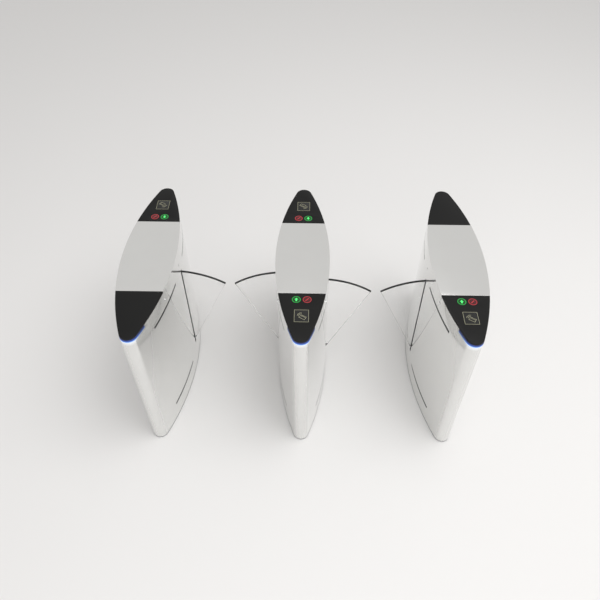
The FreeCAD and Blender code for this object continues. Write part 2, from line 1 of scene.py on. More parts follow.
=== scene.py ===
"""Looks of a two-lane flap turnstile: three satin steel cabinets, black end caps and clear flaps.

Lengths are in metres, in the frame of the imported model: +X across the lanes, +Y along the walk, +Z up.
"""

import json
import logging
import math
from dataclasses import dataclass
from enum import Enum
from typing import Any

import bmesh
import bpy
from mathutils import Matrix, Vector


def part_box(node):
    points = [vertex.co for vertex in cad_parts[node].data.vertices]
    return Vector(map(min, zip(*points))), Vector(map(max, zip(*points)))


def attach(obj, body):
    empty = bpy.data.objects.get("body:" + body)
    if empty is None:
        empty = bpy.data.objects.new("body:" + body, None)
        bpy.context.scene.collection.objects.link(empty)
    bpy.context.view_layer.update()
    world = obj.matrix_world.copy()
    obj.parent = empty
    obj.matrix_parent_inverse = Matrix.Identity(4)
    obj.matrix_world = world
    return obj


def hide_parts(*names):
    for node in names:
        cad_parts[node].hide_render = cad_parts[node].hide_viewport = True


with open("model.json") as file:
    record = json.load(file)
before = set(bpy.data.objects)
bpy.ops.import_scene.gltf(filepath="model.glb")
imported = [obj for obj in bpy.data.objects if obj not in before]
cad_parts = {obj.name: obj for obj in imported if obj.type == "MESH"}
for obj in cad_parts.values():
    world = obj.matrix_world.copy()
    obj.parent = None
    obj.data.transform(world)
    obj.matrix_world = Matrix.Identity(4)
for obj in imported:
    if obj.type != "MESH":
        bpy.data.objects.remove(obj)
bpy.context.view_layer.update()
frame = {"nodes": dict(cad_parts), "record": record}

LOG = logging.getLogger("turnstile")
MM = 0.001

Point = tuple[float, float, float]
Outline = list[tuple[float, float]]
Box = tuple[Vector, Vector]
Place = tuple[Vector, Vector]
Socket = bpy.types.NodeSocket


# ---------------------------------------------------------------------------------------------
# Small tools
# ---------------------------------------------------------------------------------------------
def srgb(code: str) -> tuple[float, float, float, float]:
    """Turn an sRGB hex colour into linear light.

    Args:
        code: The colour as six hex digits, with or without a leading hash.

    Returns:
        The linear red, green, blue and an alpha of one.
    """
    digits = code.lstrip("#")
    parts = [int(digits[i:i + 2], 16) / 255 for i in (0, 2, 4)]
    linear = [c / 12.92 if c <= 0.04045 else ((c + 0.055) / 1.055) ** 2.4 for c in parts]
    return linear[0], linear[1], linear[2], 1.0


def add_node(tree: bpy.types.NodeTree, kind: str, settings: dict[str | int, Any] | None = None,
             links: dict[str | int, Socket] | None = None) -> bpy.types.Node:
    """Add one node to a tree.

    Args:
        tree: The shader or geometry tree.
        kind: The node's type name in Blender.
        settings: Values for the node's own properties, or for its input sockets by name or number.
        links: Sockets that feed the node's inputs, by input name or number.

    Returns:
        The new node.
    """
    node = tree.nodes.new(kind)
    for key, value in (settings or {}).items():
        if isinstance(key, str) and hasattr(node, key) and key not in node.inputs:
            setattr(node, key, value)
        else:
            node.inputs[key].default_value = value
    for key, socket in (links or {}).items():
        tree.links.new(socket, node.inputs[key])
    return node


def corners(node: str) -> Box:
    """Lower and upper corner of a CAD node's box."""
    low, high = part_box(node)
    return Vector(low), Vector(high)


def solid_boxes(node: str) -> list[Box]:
    """Boxes of the separate solids of one CAD node.

    Args:
        node: Name of the CAD node.

    Returns:
        The lower and the upper corner of each solid.
    """
    mesh = bmesh.new()
    mesh.from_mesh(frame["nodes"][node].data)
    bmesh.ops.remove_doubles(mesh, verts=mesh.verts, dist=1e-5)
    boxes: list[Box] = []
    seen: set[bmesh.types.BMVert] = set()
    for start in mesh.verts:
        if start in seen:
            continue
        group = [start]
        seen.add(start)
        for vert in group:
            for edge in vert.link_edges:
                other = edge.other_vert(vert)
                if other not in seen:
                    seen.add(other)
                    group.append(other)
        low = Vector([min(v.co[i] for v in group) for i in range(3)])
        high = Vector([max(v.co[i] for v in group) for i in range(3)])
        boxes.append((low, high))
    mesh.free()
    return boxes


def new_object(name: str, mesh: bpy.types.Mesh,
               material: bpy.types.Material | None = None) -> bpy.types.Object:
    """Link a mesh into the scene as an object at the origin.

    Args:
        name: Name of the object and of its mesh.
        mesh: The mesh, with its place in its vertices.
        material: The finish for its first slot, if it has none yet.

    Returns:
        The object.
    """
    mesh.name = name
    thing = bpy.data.objects.new(name, mesh)
    bpy.context.scene.collection.objects.link(thing)
    if material is not None:
        mesh.materials.clear()
        mesh.materials.append(material)
    return thing


def mesh_from(build: bmesh.types.BMesh, name: str) -> bpy.types.Mesh:
    """Write a bmesh out with its normals facing outwards.

    Args:
        build: The bmesh, which is freed.
        name: Name of the new mesh.

    Returns:
        The mesh.
    """
    bmesh.ops.remove_doubles(build, verts=build.verts, dist=1e-7)
    bmesh.ops.recalc_face_normals(build, faces=build.faces)
    mesh = bpy.data.meshes.new(name)
    build.to_mesh(mesh)
    build.free()
    return mesh


def add_prism(build: bmesh.types.BMesh, outline: Outline, low: float, high: float) -> None:
    """Add an upright prism over a plan outline.

    Args:
        build: The bmesh that takes the prism.
        outline: Corners of the plan in order.
        low: Height of its bottom.
        high: Height of its top.
    """
    bottom = [build.verts.new((x, y, low)) for x, y in outline]
    top = [build.verts.new((x, y, high)) for x, y in outline]
    build.faces.new(bottom[::-1])
    build.faces.new(top)
    count = len(outline)
    for i in range(count):
        j = (i + 1) % count
        build.faces.new((bottom[i], bottom[j], top[j], top[i]))


def add_band(build: bmesh.types.BMesh, outer: Outline, inner: Outline, low: float, high: float) -> None:
    """Add an upright band between two closed outlines with as many corners.

    Args:
        build: The bmesh that takes the band.
        outer: The outer outline.
        inner: The inner outline, corner for corner.
        low: Height of its bottom.
        high: Height of its top.
    """
    rows = [[build.verts.new((x, y, z)) for x, y in line] for line, z in
            ((outer, low), (outer, high), (inner, high), (inner, low))]
    count = len(outer)
    for row in range(4):
        here, there = rows[row], rows[(row + 1) % 4]
        for i in range(count):
            j = (i + 1) % count
            build.faces.new((here[i], here[j], there[j], there[i]))


def merged_copy(node: str, name: str) -> bpy.types.Object:
    """Copy a CAD node as one joined mesh with flat regions dissolved.

    Args:
        node: Name of the CAD node.
        name: Name of the copy.

    Returns:
        The new object.
    """
    build = bmesh.new()
    build.from_mesh(frame["nodes"][node].data)
    bmesh.ops.remove_doubles(build, verts=build.verts, dist=2e-6)
    bmesh.ops.dissolve_limit(build, angle_limit=math.radians(0.3), verts=build.verts, edges=build.edges)
    mesh = bpy.data.meshes.new(name)
    build.to_mesh(mesh)
    build.free()
    return new_object(name, mesh)


def soften(thing: bpy.types.Object, width: float, segments: int = 3, angle: float = 35.0) -> None:
    """Round the sharp edges of a piece and shade it smoothly.

    Args:
        thing: The piece.
        width: Width of the rounding.
        segments: Steps in the rounding.
        angle: Edges sharper than this many degrees are rounded.
    """
    bevel = thing.modifiers.new("edge rounding", "BEVEL")
    bevel.width = width
    bevel.segments = segments
    bevel.limit_method = "ANGLE"
    bevel.angle_limit = math.radians(angle)
    bevel.harden_normals = True
    bevel.use_clamp_overlap = True
    thing.data.shade_smooth()


def freeze(thing: bpy.types.Object) -> bpy.types.Object:
    """Turn a piece's modifiers into plain mesh."""
    graph = bpy.context.evaluated_depsgraph_get()
    graph.update()
    mesh = bpy.data.meshes.new_from_object(thing.evaluated_get(graph))
    materials = list(thing.data.materials)
    thing.modifiers.clear()
    thing.data = mesh
    mesh.name = thing.name
    if materials and not mesh.materials:
        for material in materials:
            mesh.materials.append(material)
    return thing


# ---------------------------------------------------------------------------------------------
# Finishes
# ---------------------------------------------------------------------------------------------
@dataclass(frozen=True)
class Grain:
    """A fine directional or even texture of a surface."""

    size: Point
    roughness: tuple[float, float]
    height: float = 0.0
    detail: float = 4.0


def even_grain(size: float, low: float, high: float, height: float = 0.0) -> Grain:
    """A grain of one size in millimetres all ways, its roughness from low to high."""
    return Grain((size * MM, size * MM, size * MM), (low, high), height * MM)


@dataclass(frozen=True)
class PaintedSpill:
    """Painted light: a glow painted into a wall's emission under a strip, towards the ends of the cabinet,
    standing for the light that the strip throws down the wall.
    """

    colour: str
    strength: float
    top: float
    depth: float
    from_centre: float
    edge: float = 12.0 * MM

    def add_to(self, tree: bpy.types.NodeTree, place: bpy.types.Node, surface: bpy.types.Node) -> None:
        """Paint the strip's glow into the surface's emission, fading with the distance under the strip.

        Args:
            tree: The material's nodes.
            place: Texture coordinate node.
            surface: Shader node that takes the painted glow as its emission.
        """
        axes = add_node(tree, "ShaderNodeSeparateXYZ", None, {"Vector": place.outputs["Object"]})
        fade = add_node(tree, "ShaderNodeMapRange", {"From Min": self.top - self.depth, "From Max": self.top},
                        {"Value": axes.outputs["Z"]})
        reach = add_node(tree, "ShaderNodeMath", {"operation": "ABSOLUTE"}, {0: axes.outputs["Y"]})
        ends = add_node(tree, "ShaderNodeMapRange",
                        {"From Min": self.from_centre, "From Max": self.from_centre + self.edge},
                        {"Value": reach.outputs[0]})
        curve = add_node(tree, "ShaderNodeMath", {"operation": "POWER", 1: 1.6}, {0: fade.outputs["Result"]})
        both = add_node(tree, "ShaderNodeMath", {"operation": "MULTIPLY"},
                        {0: curve.outputs[0], 1: ends.outputs["Result"]})
        level = add_node(tree, "ShaderNodeMath", {"operation": "MULTIPLY", 1: self.strength},
                         {0: both.outputs[0]})
        surface.inputs["Emission Color"].default_value = srgb(self.colour)
        tree.links.new(level.outputs[0], surface.inputs["Emission Strength"])


@dataclass(frozen=True)
class Finish:
    """A solid finish: colour with slight variation, grain and gloss."""

    name: str
    colour: str
    tint: str
    metallic: float
    grain: Grain
    coat: float = 0.0
    specular: float = 0.5
    glow: str = ""
    glow_strength: float = 0.0
    cloud: float = 0.12
    # painted light: an optional glow painted into the emission under a light strip
    painted_spill: PaintedSpill | None = None

    def build(self) -> bpy.types.Material:
        """Make the node material.

        Returns:
            The material.
        """
        material = bpy.data.materials.new(self.name)
        material.use_nodes = True
        tree = material.node_tree
        tree.nodes.clear()
        place = add_node(tree, "ShaderNodeTexCoord")
        scale = tuple(1 / size for size in self.grain.size)
        stretched = add_node(tree, "ShaderNodeMapping", {"Scale": scale}, {"Vector": place.outputs["Object"]})
        fine = add_node(tree, "ShaderNodeTexNoise", {"Scale": 1.0, "Detail": self.grain.detail},
                        {"Vector": stretched.outputs["Vector"]})
        broad = add_node(tree, "ShaderNodeTexNoise", {"Scale": 1 / self.cloud, "Detail": 2.0},
                         {"Vector": place.outputs["Object"]})
        mix = add_node(tree, "ShaderNodeMix", {"data_type": "RGBA"}, {0: broad.outputs["Fac"]})
        mix.inputs[6].default_value = srgb(self.colour)
        mix.inputs[7].default_value = srgb(self.tint)
        low, high = self.grain.roughness
        rough = add_node(tree, "ShaderNodeMapRange",
                         {"From Min": 0.3, "From Max": 0.7, "To Min": low, "To Max": high},
                         {"Value": fine.outputs["Fac"]})
        surface = add_node(tree, "ShaderNodeBsdfPrincipled",
                           {"Metallic": self.metallic, "Coat Weight": self.coat, "Coat Roughness": 0.08,
                            "Specular IOR Level": self.specular},
                           {"Base Color": mix.outputs[2], "Roughness": rough.outputs["Result"]})
        if self.grain.height:
            bump = add_node(tree, "ShaderNodeBump", {"Strength": 0.4, "Distance": self.grain.height},
                            {"Height": fine.outputs["Fac"]})
            tree.links.new(bump.outputs["Normal"], surface.inputs["Normal"])
        if self.glow:
            surface.inputs["Emission Color"].default_value = srgb(self.glow)
            surface.inputs["Emission Strength"].default_value = self.glow_strength
        # paint the strip's glow into the emission as painted light
        if self.painted_spill:
            self.painted_spill.add_to(tree, place, surface)
        add_node(tree, "ShaderNodeOutputMaterial", None, {"Surface": surface.outputs["BSDF"]})
        return material


@dataclass(frozen=True)
class ClearFinish:
    """Clear cast acrylic: light passes with a faint tint."""

    name: str
    colour: str
    ior: float = 1.49
    roughness: tuple[float, float] = (0.0, 0.02)
    alpha: float = 1.0

    def build(self) -> bpy.types.Material:
        """Make the node material.

        Returns:
            The material.
        """
        material = bpy.data.materials.new(self.name)
        material.use_nodes = True
        tree = material.node_tree
        tree.nodes.clear()
        place = add_node(tree, "ShaderNodeTexCoord")
        wipe = add_node(tree, "ShaderNodeTexNoise", {"Scale": 9.0, "Detail": 3.0},
                        {"Vector": place.outputs["Object"]})
        rough = add_node(tree, "ShaderNodeMapRange",
                         {"From Min": 0.4, "From Max": 0.7, "To Min": self.roughness[0],
                          "To Max": self.roughness[1]},
                         {"Value": wipe.outputs["Fac"]})
        surface = add_node(tree, "ShaderNodeBsdfPrincipled",
                           {"Transmission Weight": 1.0, "IOR": self.ior, "Base Color": srgb(self.colour),
                            "Alpha": self.alpha},
                           {"Roughness": rough.outputs["Result"]})
        add_node(tree, "ShaderNodeOutputMaterial", None, {"Surface": surface.outputs["BSDF"]})
        return material


@dataclass(frozen=True)
class GlowFinish:
    """Frosted plastic lit along its lower edge, so that the light fades upwards."""

    name: str
    colour: str
    stops: tuple[tuple[float, str], ...]
    low: float
    high: float
    strength: float
    tip: tuple[float, float]
    side_share: float = 0.35
    roughness: float = 0.4

    def build(self) -> bpy.types.Material:
        """Make the node material.

        Returns:
            The material.
        """
        material = bpy.data.materials.new(self.name)
        material.use_nodes = True
        tree = material.node_tree
        tree.nodes.clear()
        place = add_node(tree, "ShaderNodeTexCoord")
        frost = add_node(tree, "ShaderNodeTexNoise", {"Scale": 1 / (12 * MM), "Detail": 1.0},
                         {"Vector": place.outputs["Object"]})
        axes = add_node(tree, "ShaderNodeSeparateXYZ", None, {"Vector": place.outputs["Object"]})
        height = add_node(tree, "ShaderNodeMapRange", {"From Min": self.low, "From Max": self.high},
                          {"Value": axes.outputs["Z"]})
        uneven = add_node(tree, "ShaderNodeMapRange", {"To Min": -0.04, "To Max": 0.04},
                          {"Value": frost.outputs["Fac"]})
        level = add_node(tree, "ShaderNodeMath", {"operation": "ADD"},
                         {0: height.outputs["Result"], 1: uneven.outputs["Result"]})
        ramp = add_node(tree, "ShaderNodeValToRGB", None, {"Fac": level.outputs[0]})
        marks = ramp.color_ramp.elements
        while len(marks) < len(self.stops):
            marks.new(1.0)
        for mark, (where, colour) in zip(marks, self.stops):
            mark.position = where
            mark.color = srgb(colour)
        reach = add_node(tree, "ShaderNodeMath", {"operation": "ABSOLUTE"}, {0: axes.outputs["Y"]})
        power = add_node(tree, "ShaderNodeMapRange",
                         {"From Min": self.tip[0], "From Max": self.tip[1],
                          "To Min": self.strength * self.side_share, "To Max": self.strength},
                         {"Value": reach.outputs[0]})
        surface = add_node(tree, "ShaderNodeBsdfPrincipled",
                           {"Base Color": srgb(self.colour), "Roughness": self.roughness},
                           {"Emission Color": ramp.outputs["Color"],
                            "Emission Strength": power.outputs["Result"]})
        add_node(tree, "ShaderNodeOutputMaterial", None, {"Surface": surface.outputs["BSDF"]})
        return material


class Surfaces:
    """Every finish on the turnstile, made once and shared."""

    def __init__(self) -> None:
        """Make the materials."""
        band_low, band_high = (corner[2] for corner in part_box("centre_light_bands"))
        band_tip = max(abs(corner.y) for box in solid_boxes("centre_light_bands") for corner in box)
        finishes: list[Finish | ClearFinish | GlowFinish] = [
            # Stainless sheet, fine-brushed up the walls and lacquered: pale, with clear reflections
            # at a low angle, and with painted light: a glow painted into its emission under the strips at the
            # noses.
            Finish("lacquered stainless wall", "#E6E6E4", "#E0E0DE", 0.68,
                   Grain((1.5 * MM, 1.5 * MM, 160 * MM), (0.04, 0.07)), coat=0.6,
                   # painted light: the strips' glow on the wall, painted into the emission
                   painted_spill=PaintedSpill("#DCE9FF", 0.32, band_low, 26 * MM, band_tip - 50 * MM, 40 * MM)),
            # Base plates: mid-grey powder coat, slightly pebbled.
            Finish("grey powder coat", "#6E7072", "#66686A", 0.0,
                   even_grain(0.9, 0.5, 0.6, 0.02)),
            # The lid is the same sheet, brushed along its length.
            Finish("satin stainless lid", "#F0F0EE", "#ECECEA", 1.0,
                   Grain((0.6 * MM, 90 * MM, 0.6 * MM), (0.20, 0.26))),
            # Moulded black ABS with a fine even texture: a dull sheen and no clear reflections.
            Finish("moulded black ABS", "#0F0F0F", "#121211", 0.0,
                   even_grain(0.6, 0.46, 0.54, 0.01), specular=0.22),
            # Frosted acrylic strip with blue light-emitting diodes under it: near white below, navy above.
            GlowFinish("lit blue diffuser", "#0A1638",
                       ((0.0, "#F4FBFF"), (0.18, "#C4E0FF"), (0.38, "#5C8FE8"), (0.60, "#2A4AA6"),
                        (1.0, "#141F4C")),
                       band_low, band_high, 1.0, (band_tip - 60 * MM, band_tip - 10 * MM)),
            # Infrared-clear acrylic: black, flat and glossy.
            Finish("black infrared acrylic", "#0B0B0C", "#101011", 0.0,
                   even_grain(2, 0.10, 0.14), specular=0.28),
            # Moulded nylon slot liner: matt black.
            Finish("black nylon", "#0C0C0C", "#121211", 0.0,
                   even_grain(0.5, 0.5, 0.62, 0.01), specular=0.2),
            # Extruded EPDM edging: black and matt, slightly greyed.
            Finish("black EPDM rubber", "#131313", "#1D1D1C", 0.0,
                   even_grain(0.8, 0.6, 0.75, 0.02)),
            # Key heads of the latch: plated brass.
            Finish("bright chrome plate", "#DADADA", "#CFCFCF", 1.0, even_grain(3, 0.06, 0.12)),
            # Frames and brackets inside: zinc-plated steel with faint spangle.
            Finish("zinc plated steel", "#9BA0A3", "#868C90", 1.0,
                   even_grain(6, 0.35, 0.5, 0.01), cloud=0.03),
            # Hubs and gears: turned steel.
            Finish("machined steel", "#B4B5B6", "#A5A6A8", 1.0,
                   Grain((8 * MM, 0.3 * MM, 8 * MM), (0.22, 0.34))),
            # Motor bodies: black stoved enamel.
            Finish("black enamel", "#202123", "#17181A", 0.0,
                   even_grain(1.5, 0.35, 0.5, 0.03)),
            # Boxes for the boards: light grey polycarbonate.
            Finish("grey polycarbonate", "#A9ABA8", "#B3B4B1", 0.0,
                   even_grain(0.8, 0.4, 0.5, 0.01)),
            # Smoked windows of the lamps and the reader.
            Finish("smoked acrylic window", "#151615", "#191A18", 0.0,
                   even_grain(2, 0.10, 0.16)),
            # Tinted lenses of the two lamps, dimly lit all over.
            Finish("green lamp lens", "#07240B", "#092A0E", 0.0,
                   even_grain(2, 0.10, 0.16), glow="#0C4A18", glow_strength=0.4),
            Finish("red lamp lens", "#2A080A", "#300A0C", 0.0,
                   even_grain(2, 0.10, 0.16), glow="#5C1519", glow_strength=0.45),
            # Legends lit from behind: the ring, and the brighter mark inside it.
            Finish("lit green legend", "#0E5E22", "#126B28", 0.0,
                   even_grain(1, 0.3, 0.4), glow="#1F9A3C", glow_strength=0.95),
            Finish("lit green arrow", "#2FA84C", "#37B556", 0.0,
                   even_grain(1, 0.3, 0.4), glow="#4BE070", glow_strength=0.95),
            Finish("lit red legend", "#7A141C", "#86181F", 0.0,
                   even_grain(1, 0.3, 0.4), glow="#9C3038", glow_strength=0.8),
            # Screen-printed marks of the reader window: pale sand ink.
            Finish("pale sand ink", "#97957C", "#A19F88", 0.0, even_grain(1, 0.5, 0.6)),
            # Bolts and washers: zinc plate with a soft shine.
            Finish("zinc plated bolt", "#C3C6C8", "#B2B5B8", 1.0, even_grain(3, 0.2, 0.3)),
            # Socket screws: black oxide, oily and dark.
            Finish("black oxide screw", "#1B1C1E", "#232426", 0.6, even_grain(2, 0.3, 0.42)),
            # Cast acrylic: clear with a faint cold tint in its thickness.
            ClearFinish("clear cast acrylic", "#FDFEFE", alpha=0.16),
            # The edge faces are tinted grey as painted shade: the fine grey line that a flame-polished edge
            # shows as it gathers light along the sheet.
            ClearFinish("acrylic edge with painted shade", "#5F6664", alpha=0.7),
        ]
        self._made = {finish.name: finish.build() for finish in finishes}

    def __getitem__(self, name: str) -> bpy.types.Material:
        """The material of that name."""
        return self._made[name]


# ---------------------------------------------------------------------------------------------
# The object's layout, read from the frame
# ---------------------------------------------------------------------------------------------
class Cabinet(Enum):
    """The three cabinets, from left to right."""

    LEFT = "left"
    CENTRE = "centre"
    RIGHT = "right"


class Flap(Enum):
    """The four flaps, from left to right."""

    LEFT_LANE_LEFT = "left_lane_left"
    LEFT_LANE_RIGHT = "left_lane_right"
    RIGHT_LANE_LEFT = "right_lane_left"
    RIGHT_LANE_RIGHT = "right_lane_right"


ROOT_BODY = "cabinets"


@dataclass(frozen=True)
class Plan:
    """Plan of one cabinet: two long side arcs joined by a small arc at each nose."""

    centre_x: float
    half_length: float
    half_width: float
    nose_radius: float = 45.0 * MM

    @classmethod
    def of(cls, cabinet: Cabinet) -> "Plan":
        """Read the plan from the cabinet's base plate."""
        low, high = corners(cabinet.value + "_base_plate")
        return cls((low.x + high.x) / 2, high.y, (high.x - low.x) / 2)

    @property
    def nose_centre(self) -> float:
        """Distance of a nose arc's centre from the middle."""
        return self.half_length - self.nose_radius

    @property
    def side_radius(self) -> float:
        """Radius of the long side arcs."""
        squares = self.nose_centre ** 2 + self.half_width ** 2 - self.nose_radius ** 2
        return squares / (2 * (self.half_width - self.nose_radius))

    @property
    def side_shift(self) -> float:
        """How far a side arc's centre lies past the middle."""
        return self.side_radius - self.half_width

    @property
    def meeting_angle(self) -> float:
        """Direction in which a side arc meets a nose arc."""
        return math.atan2(self.nose_centre, self.side_shift)

    def outward(self, x: float, y: float) -> Vector:
        """Direction straight out of the wall at a place on it.

        Args:
            x: Place across the lanes.
            y: Place along the walk.

        Returns:
            A level unit vector.
        """
        local = x - self.centre_x
        if abs(y) > self.side_radius * math.sin(self.meeting_angle):
            return Vector((local, y - math.copysign(self.nose_centre, y), 0.0)).normalized()
        return Vector((local + math.copysign(self.side_shift, local), y, 0.0)).normalized()

    def round_nose(self, start: float, offset: float, sign: int, pitch: float = 3.0 * MM) -> Outline:
        """Open outline round one nose, from wall to wall.

        Args:
            start: Distance from the middle at which it begins on each wall.
            offset: How far it stands outside the wall.
            sign: -1 for the front nose and 1 for the rear one.
            pitch: Length of its steps.

        Returns:
            Points in the model's frame.
        """
        side, nose, meet = self.side_radius + offset, self.nose_radius + offset, self.meeting_angle
        first = math.asin(start / side)
        side_steps = math.ceil((meet - first) * side / pitch)
        nose_steps = math.ceil((math.pi - 2 * meet) * nose / pitch)
        wall = [first + (meet - first) * i / side_steps for i in range(side_steps)]
        one = [(side * math.cos(a) - self.side_shift, side * math.sin(a)) for a in wall]
        turn = [meet + (math.pi - 2 * meet) * i / nose_steps for i in range(nose_steps + 1)]
        tip = [(nose * math.cos(a), self.nose_centre + nose * math.sin(a)) for a in turn]
        other = [(-x, y) for x, y in reversed(one)]
        return [(self.centre_x + x, sign * y) for x, y in one + tip + other]


def bodies_of_nodes() -> dict[str, str]:
    """Name of the body that each CAD node rides on."""
    bodies = frame["record"]["behaviour"]["bodies"]
    return {node: body for body, nodes in bodies.items() for node in nodes}


class FrameDresser:
    """Gives each CAD node its finish, and the softened edges of the real piece."""

    # finish, and the width of the edge rounding in millimetres; none where the node itself stays in view
    LOOKS: dict[str, tuple[str, float]] = {
        "base_plate": ("grey powder coat", 0.6),
        "inner_frame": ("zinc plated steel", 2.0),
        "lid": ("satin stainless lid", 0.4),
        "lid_latch": ("bright chrome plate", 0.5),
        "front_cap": ("moulded black ABS", 1.5),
        "rear_cap": ("moulded black ABS", 1.5),
        "beam_windows": ("black infrared acrylic", 0.5),
        "slot_liners": ("black nylon", 0.8),
        "edge_trim": ("black EPDM rubber", 0.45),
        "hub": ("machined steel", 0.8),
        "sector_gear": ("machined steel", 0.0),
        "drive_pinion": ("machined steel", 0.0),
        "control_boxes": ("grey polycarbonate", 3.0),
        "power_supplies": ("zinc plated steel", 1.0),
        "card_readers": ("moulded black ABS", 1.5),
        "green_indicators": ("green lamp lens", 0.3),
        "red_indicators": ("red lamp lens", 0.3),
        "reader_windows": ("smoked acrylic window", 0.3),
        "drive_brackets": ("zinc plated steel", 1.0),
        "flap_bearings": ("machined steel", 0.4),
        "stop_buffers": ("black EPDM rubber", 0.8),
        "gear_motors": ("black enamel", 1.5),
    }
    MADE_ELSEWHERE = ("_shell", "_light_bands", "_panel")

    def __init__(self, surfaces: Surfaces) -> None:
        """Keep the finishes at hand."""
        self.surfaces = surfaces
        self.bodies = bodies_of_nodes()

    def look_of(self, node: str) -> tuple[bpy.types.Material, float]:
        """The finish and the edge rounding of a node, by the longest ending that fits its name.

        Args:
            node: Name of the CAD node.

        Returns:
            The material and the width of the rounding.
        """
        key = max((key for key in self.LOOKS if node.endswith(key)), key=len)
        finish, width = self.LOOKS[key]
        return self.surfaces[finish], width * MM

    def dress(self) -> None:
        """Finish every CAD node that no other class makes anew."""
        for name, thing in frame["nodes"].items():
            if name.endswith(self.MADE_ELSEWHERE):
                continue
            material, width = self.look_of(name)
            if width:
                piece = merged_copy(name, name + "_formed")
                piece.data.materials.clear()
                piece.data.materials.append(material)
                soften(piece, width)
                freeze(piece)
                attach(piece, self.bodies[name])
                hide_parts(name)
            else:
                if not thing.material_slots:
                    thing.data.materials.append(material)
                for slot in thing.material_slots:
                    slot.material = material
            LOG.info("dressed %s in %s", name, material.name)


# ---------------------------------------------------------------------------------------------
# Walls and light strips
# ---------------------------------------------------------------------------------------------
@dataclass
class Walls:
    """Rolled cabinet walls, with the true curve's normals so that their reflections run smoothly."""

    most_turn: float = 6.0

    def curve_normal(self, plan: Plan, corner: Vector, flat: Vector) -> Vector:
        """Normal at a corner of a wall face: the curve's own on the skin, the face's own at a cut.

        Args:
            plan: Plan of the cabinet.
            corner: The corner.
            flat: Normal of the face.

        Returns:
            The normal.
        """
        out = plan.outward(corner.x, corner.y)
        if flat.dot(out) < 0:
            out = -out
        return out if flat.dot(out) > math.cos(math.radians(self.most_turn)) else flat

    def build(self, surfaces: Surfaces) -> None:
        """Make the walls of every cabinet."""
        for cabinet in Cabinet:
            node = cabinet.value + "_shell"
            plan = Plan.of(cabinet)
            piece = merged_copy(node, node + "_rolled")
            mesh = piece.data
            mesh.materials.clear()
            mesh.materials.append(surfaces["lacquered stainless wall"])
            mesh.shade_smooth()
            normals = [Vector()] * len(mesh.loops)
            for face in mesh.polygons:
                flat = face.normal.copy()
                for index in face.loop_indices:
                    corner = mesh.vertices[mesh.loops[index].vertex_index].co
                    normals[index] = self.curve_normal(plan, corner, flat)
            mesh.normals_split_custom_set(normals)
            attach(piece, ROOT_BODY)
            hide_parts(node)
            LOG.info("rolled the walls of the %s cabinet", cabinet.value)


class NodeTree:
    """A geometry tree with named inputs, and the meshes that it makes."""

    def __init__(self, name: str, inputs: dict[str, float | int]) -> None:
        """Start the tree.

        Args:
            name: Name of the tree.
            inputs: Its inputs by name, with their usual values.
        """
        self.tree = bpy.data.node_groups.new(name, "GeometryNodeTree")
        face = self.tree.interface
        face.new_socket("Geometry", in_out="INPUT", socket_type="NodeSocketGeometry")
        face.new_socket("Geometry", in_out="OUTPUT", socket_type="NodeSocketGeometry")
        self.keys: dict[str, str] = {}
        for label, value in inputs.items():
            kind = "NodeSocketInt" if isinstance(value, int) else "NodeSocketFloat"
            socket = face.new_socket(label, in_out="INPUT", socket_type=kind)
            socket.default_value = value
            self.keys[label] = socket.identifier
        self.given = add_node(self.tree, "NodeGroupInput").outputs

    def add(self, kind: str, settings: dict[str, Any] | None = None,
            links: dict[str | int, Socket] | None = None) -> bpy.types.Node:
        """Add a node to this tree, as add_node does."""
        return add_node(self.tree, kind, settings, links)

    def sum(self, first: Socket, second: Socket | float,
            operation: str = "ADD") -> Socket:
        """Work out two numbers together.

        Args:
            first: The first number.
            second: The second one, as a socket or a value.
            operation: Name of the sum.

        Returns:
            The result.
        """
        node = self.add("ShaderNodeMath", {"operation": operation}, {0: first})
        if isinstance(second, Socket):
            self.tree.links.new(second, node.inputs[1])
        else:
            node.inputs[1].default_value = second
        return node.outputs[0]

    def raised(self, geometry: Socket, height: Socket) -> Socket:
        """Lift a geometry along its own Z."""
        place = self.add("ShaderNodeCombineXYZ", None, {"Z": height})
        moved = self.add("GeometryNodeTransform", None,
                         {"Geometry": geometry, "Translation": place.outputs[0]})
        return moved.outputs[0]

    def joined(self, *parts: Socket) -> Socket:
        """Join several geometries."""
        join = self.add("GeometryNodeJoinGeometry")
        for part in parts:
            self.tree.links.new(part, join.inputs[0])
        return join.outputs[0]

    def finish_on_places(self, instance: Socket, material: bpy.types.Material) -> None:
        """Put an instance on every given point, its Z along the point's facing, and end the tree.

        Args:
            instance: The geometry to repeat.
            material: Its finish.
        """
        facing = self.add("GeometryNodeInputNamedAttribute", {"data_type": "FLOAT_VECTOR", "Name": "facing"})
        turn = self.add("FunctionNodeAlignRotationToVector", {"axis": "Z"}, {"Vector": facing.outputs[0]})
        placed = self.add("GeometryNodeInstanceOnPoints", None,
                          {"Points": self.given["Geometry"], "Instance": instance,
                           "Rotation": turn.outputs[0]})
        self.finish_with(placed.outputs[0], material)

    def finish_with(self, geometry: Socket, material: bpy.types.Material) -> None:
        """End the tree: real meshes with their finish."""
        real = self.add("GeometryNodeRealizeInstances", None, {0: geometry})
        dressed = self.add("GeometryNodeSetMaterial", {"Material": material}, {"Geometry": real.outputs[0]})
        self.add("NodeGroupOutput", None, {0: dressed.outputs[0]})

    def run(self, name: str, base: bpy.types.Mesh, sizes: dict[str, float | int], sharp: float = 35.0
            ) -> bpy.types.Object:
        """Make one plain piece with the tree.

        Args:
            name: Name of the piece.
            base: Mesh that carries the places or the path.
            sizes: Values for the named inputs.
            sharp: Edges that turn more than this many degrees are shaded sharp.

        Returns:
            The piece.
        """
        piece = new_object(name, base)
        modifier = piece.modifiers.new("maker", "NODES")
        modifier.node_group = self.tree
        for label, value in sizes.items():
            modifier[self.keys[label]] = value
        freeze(piece)
        build = bmesh.new()
        build.from_mesh(piece.data)
        bmesh.ops.recalc_face_normals(build, faces=build.faces)
        build.to_mesh(piece.data)
        build.free()
        piece.data.shade_smooth()
        piece.data.set_sharp_from_angle(angle=math.radians(sharp))
        return piece


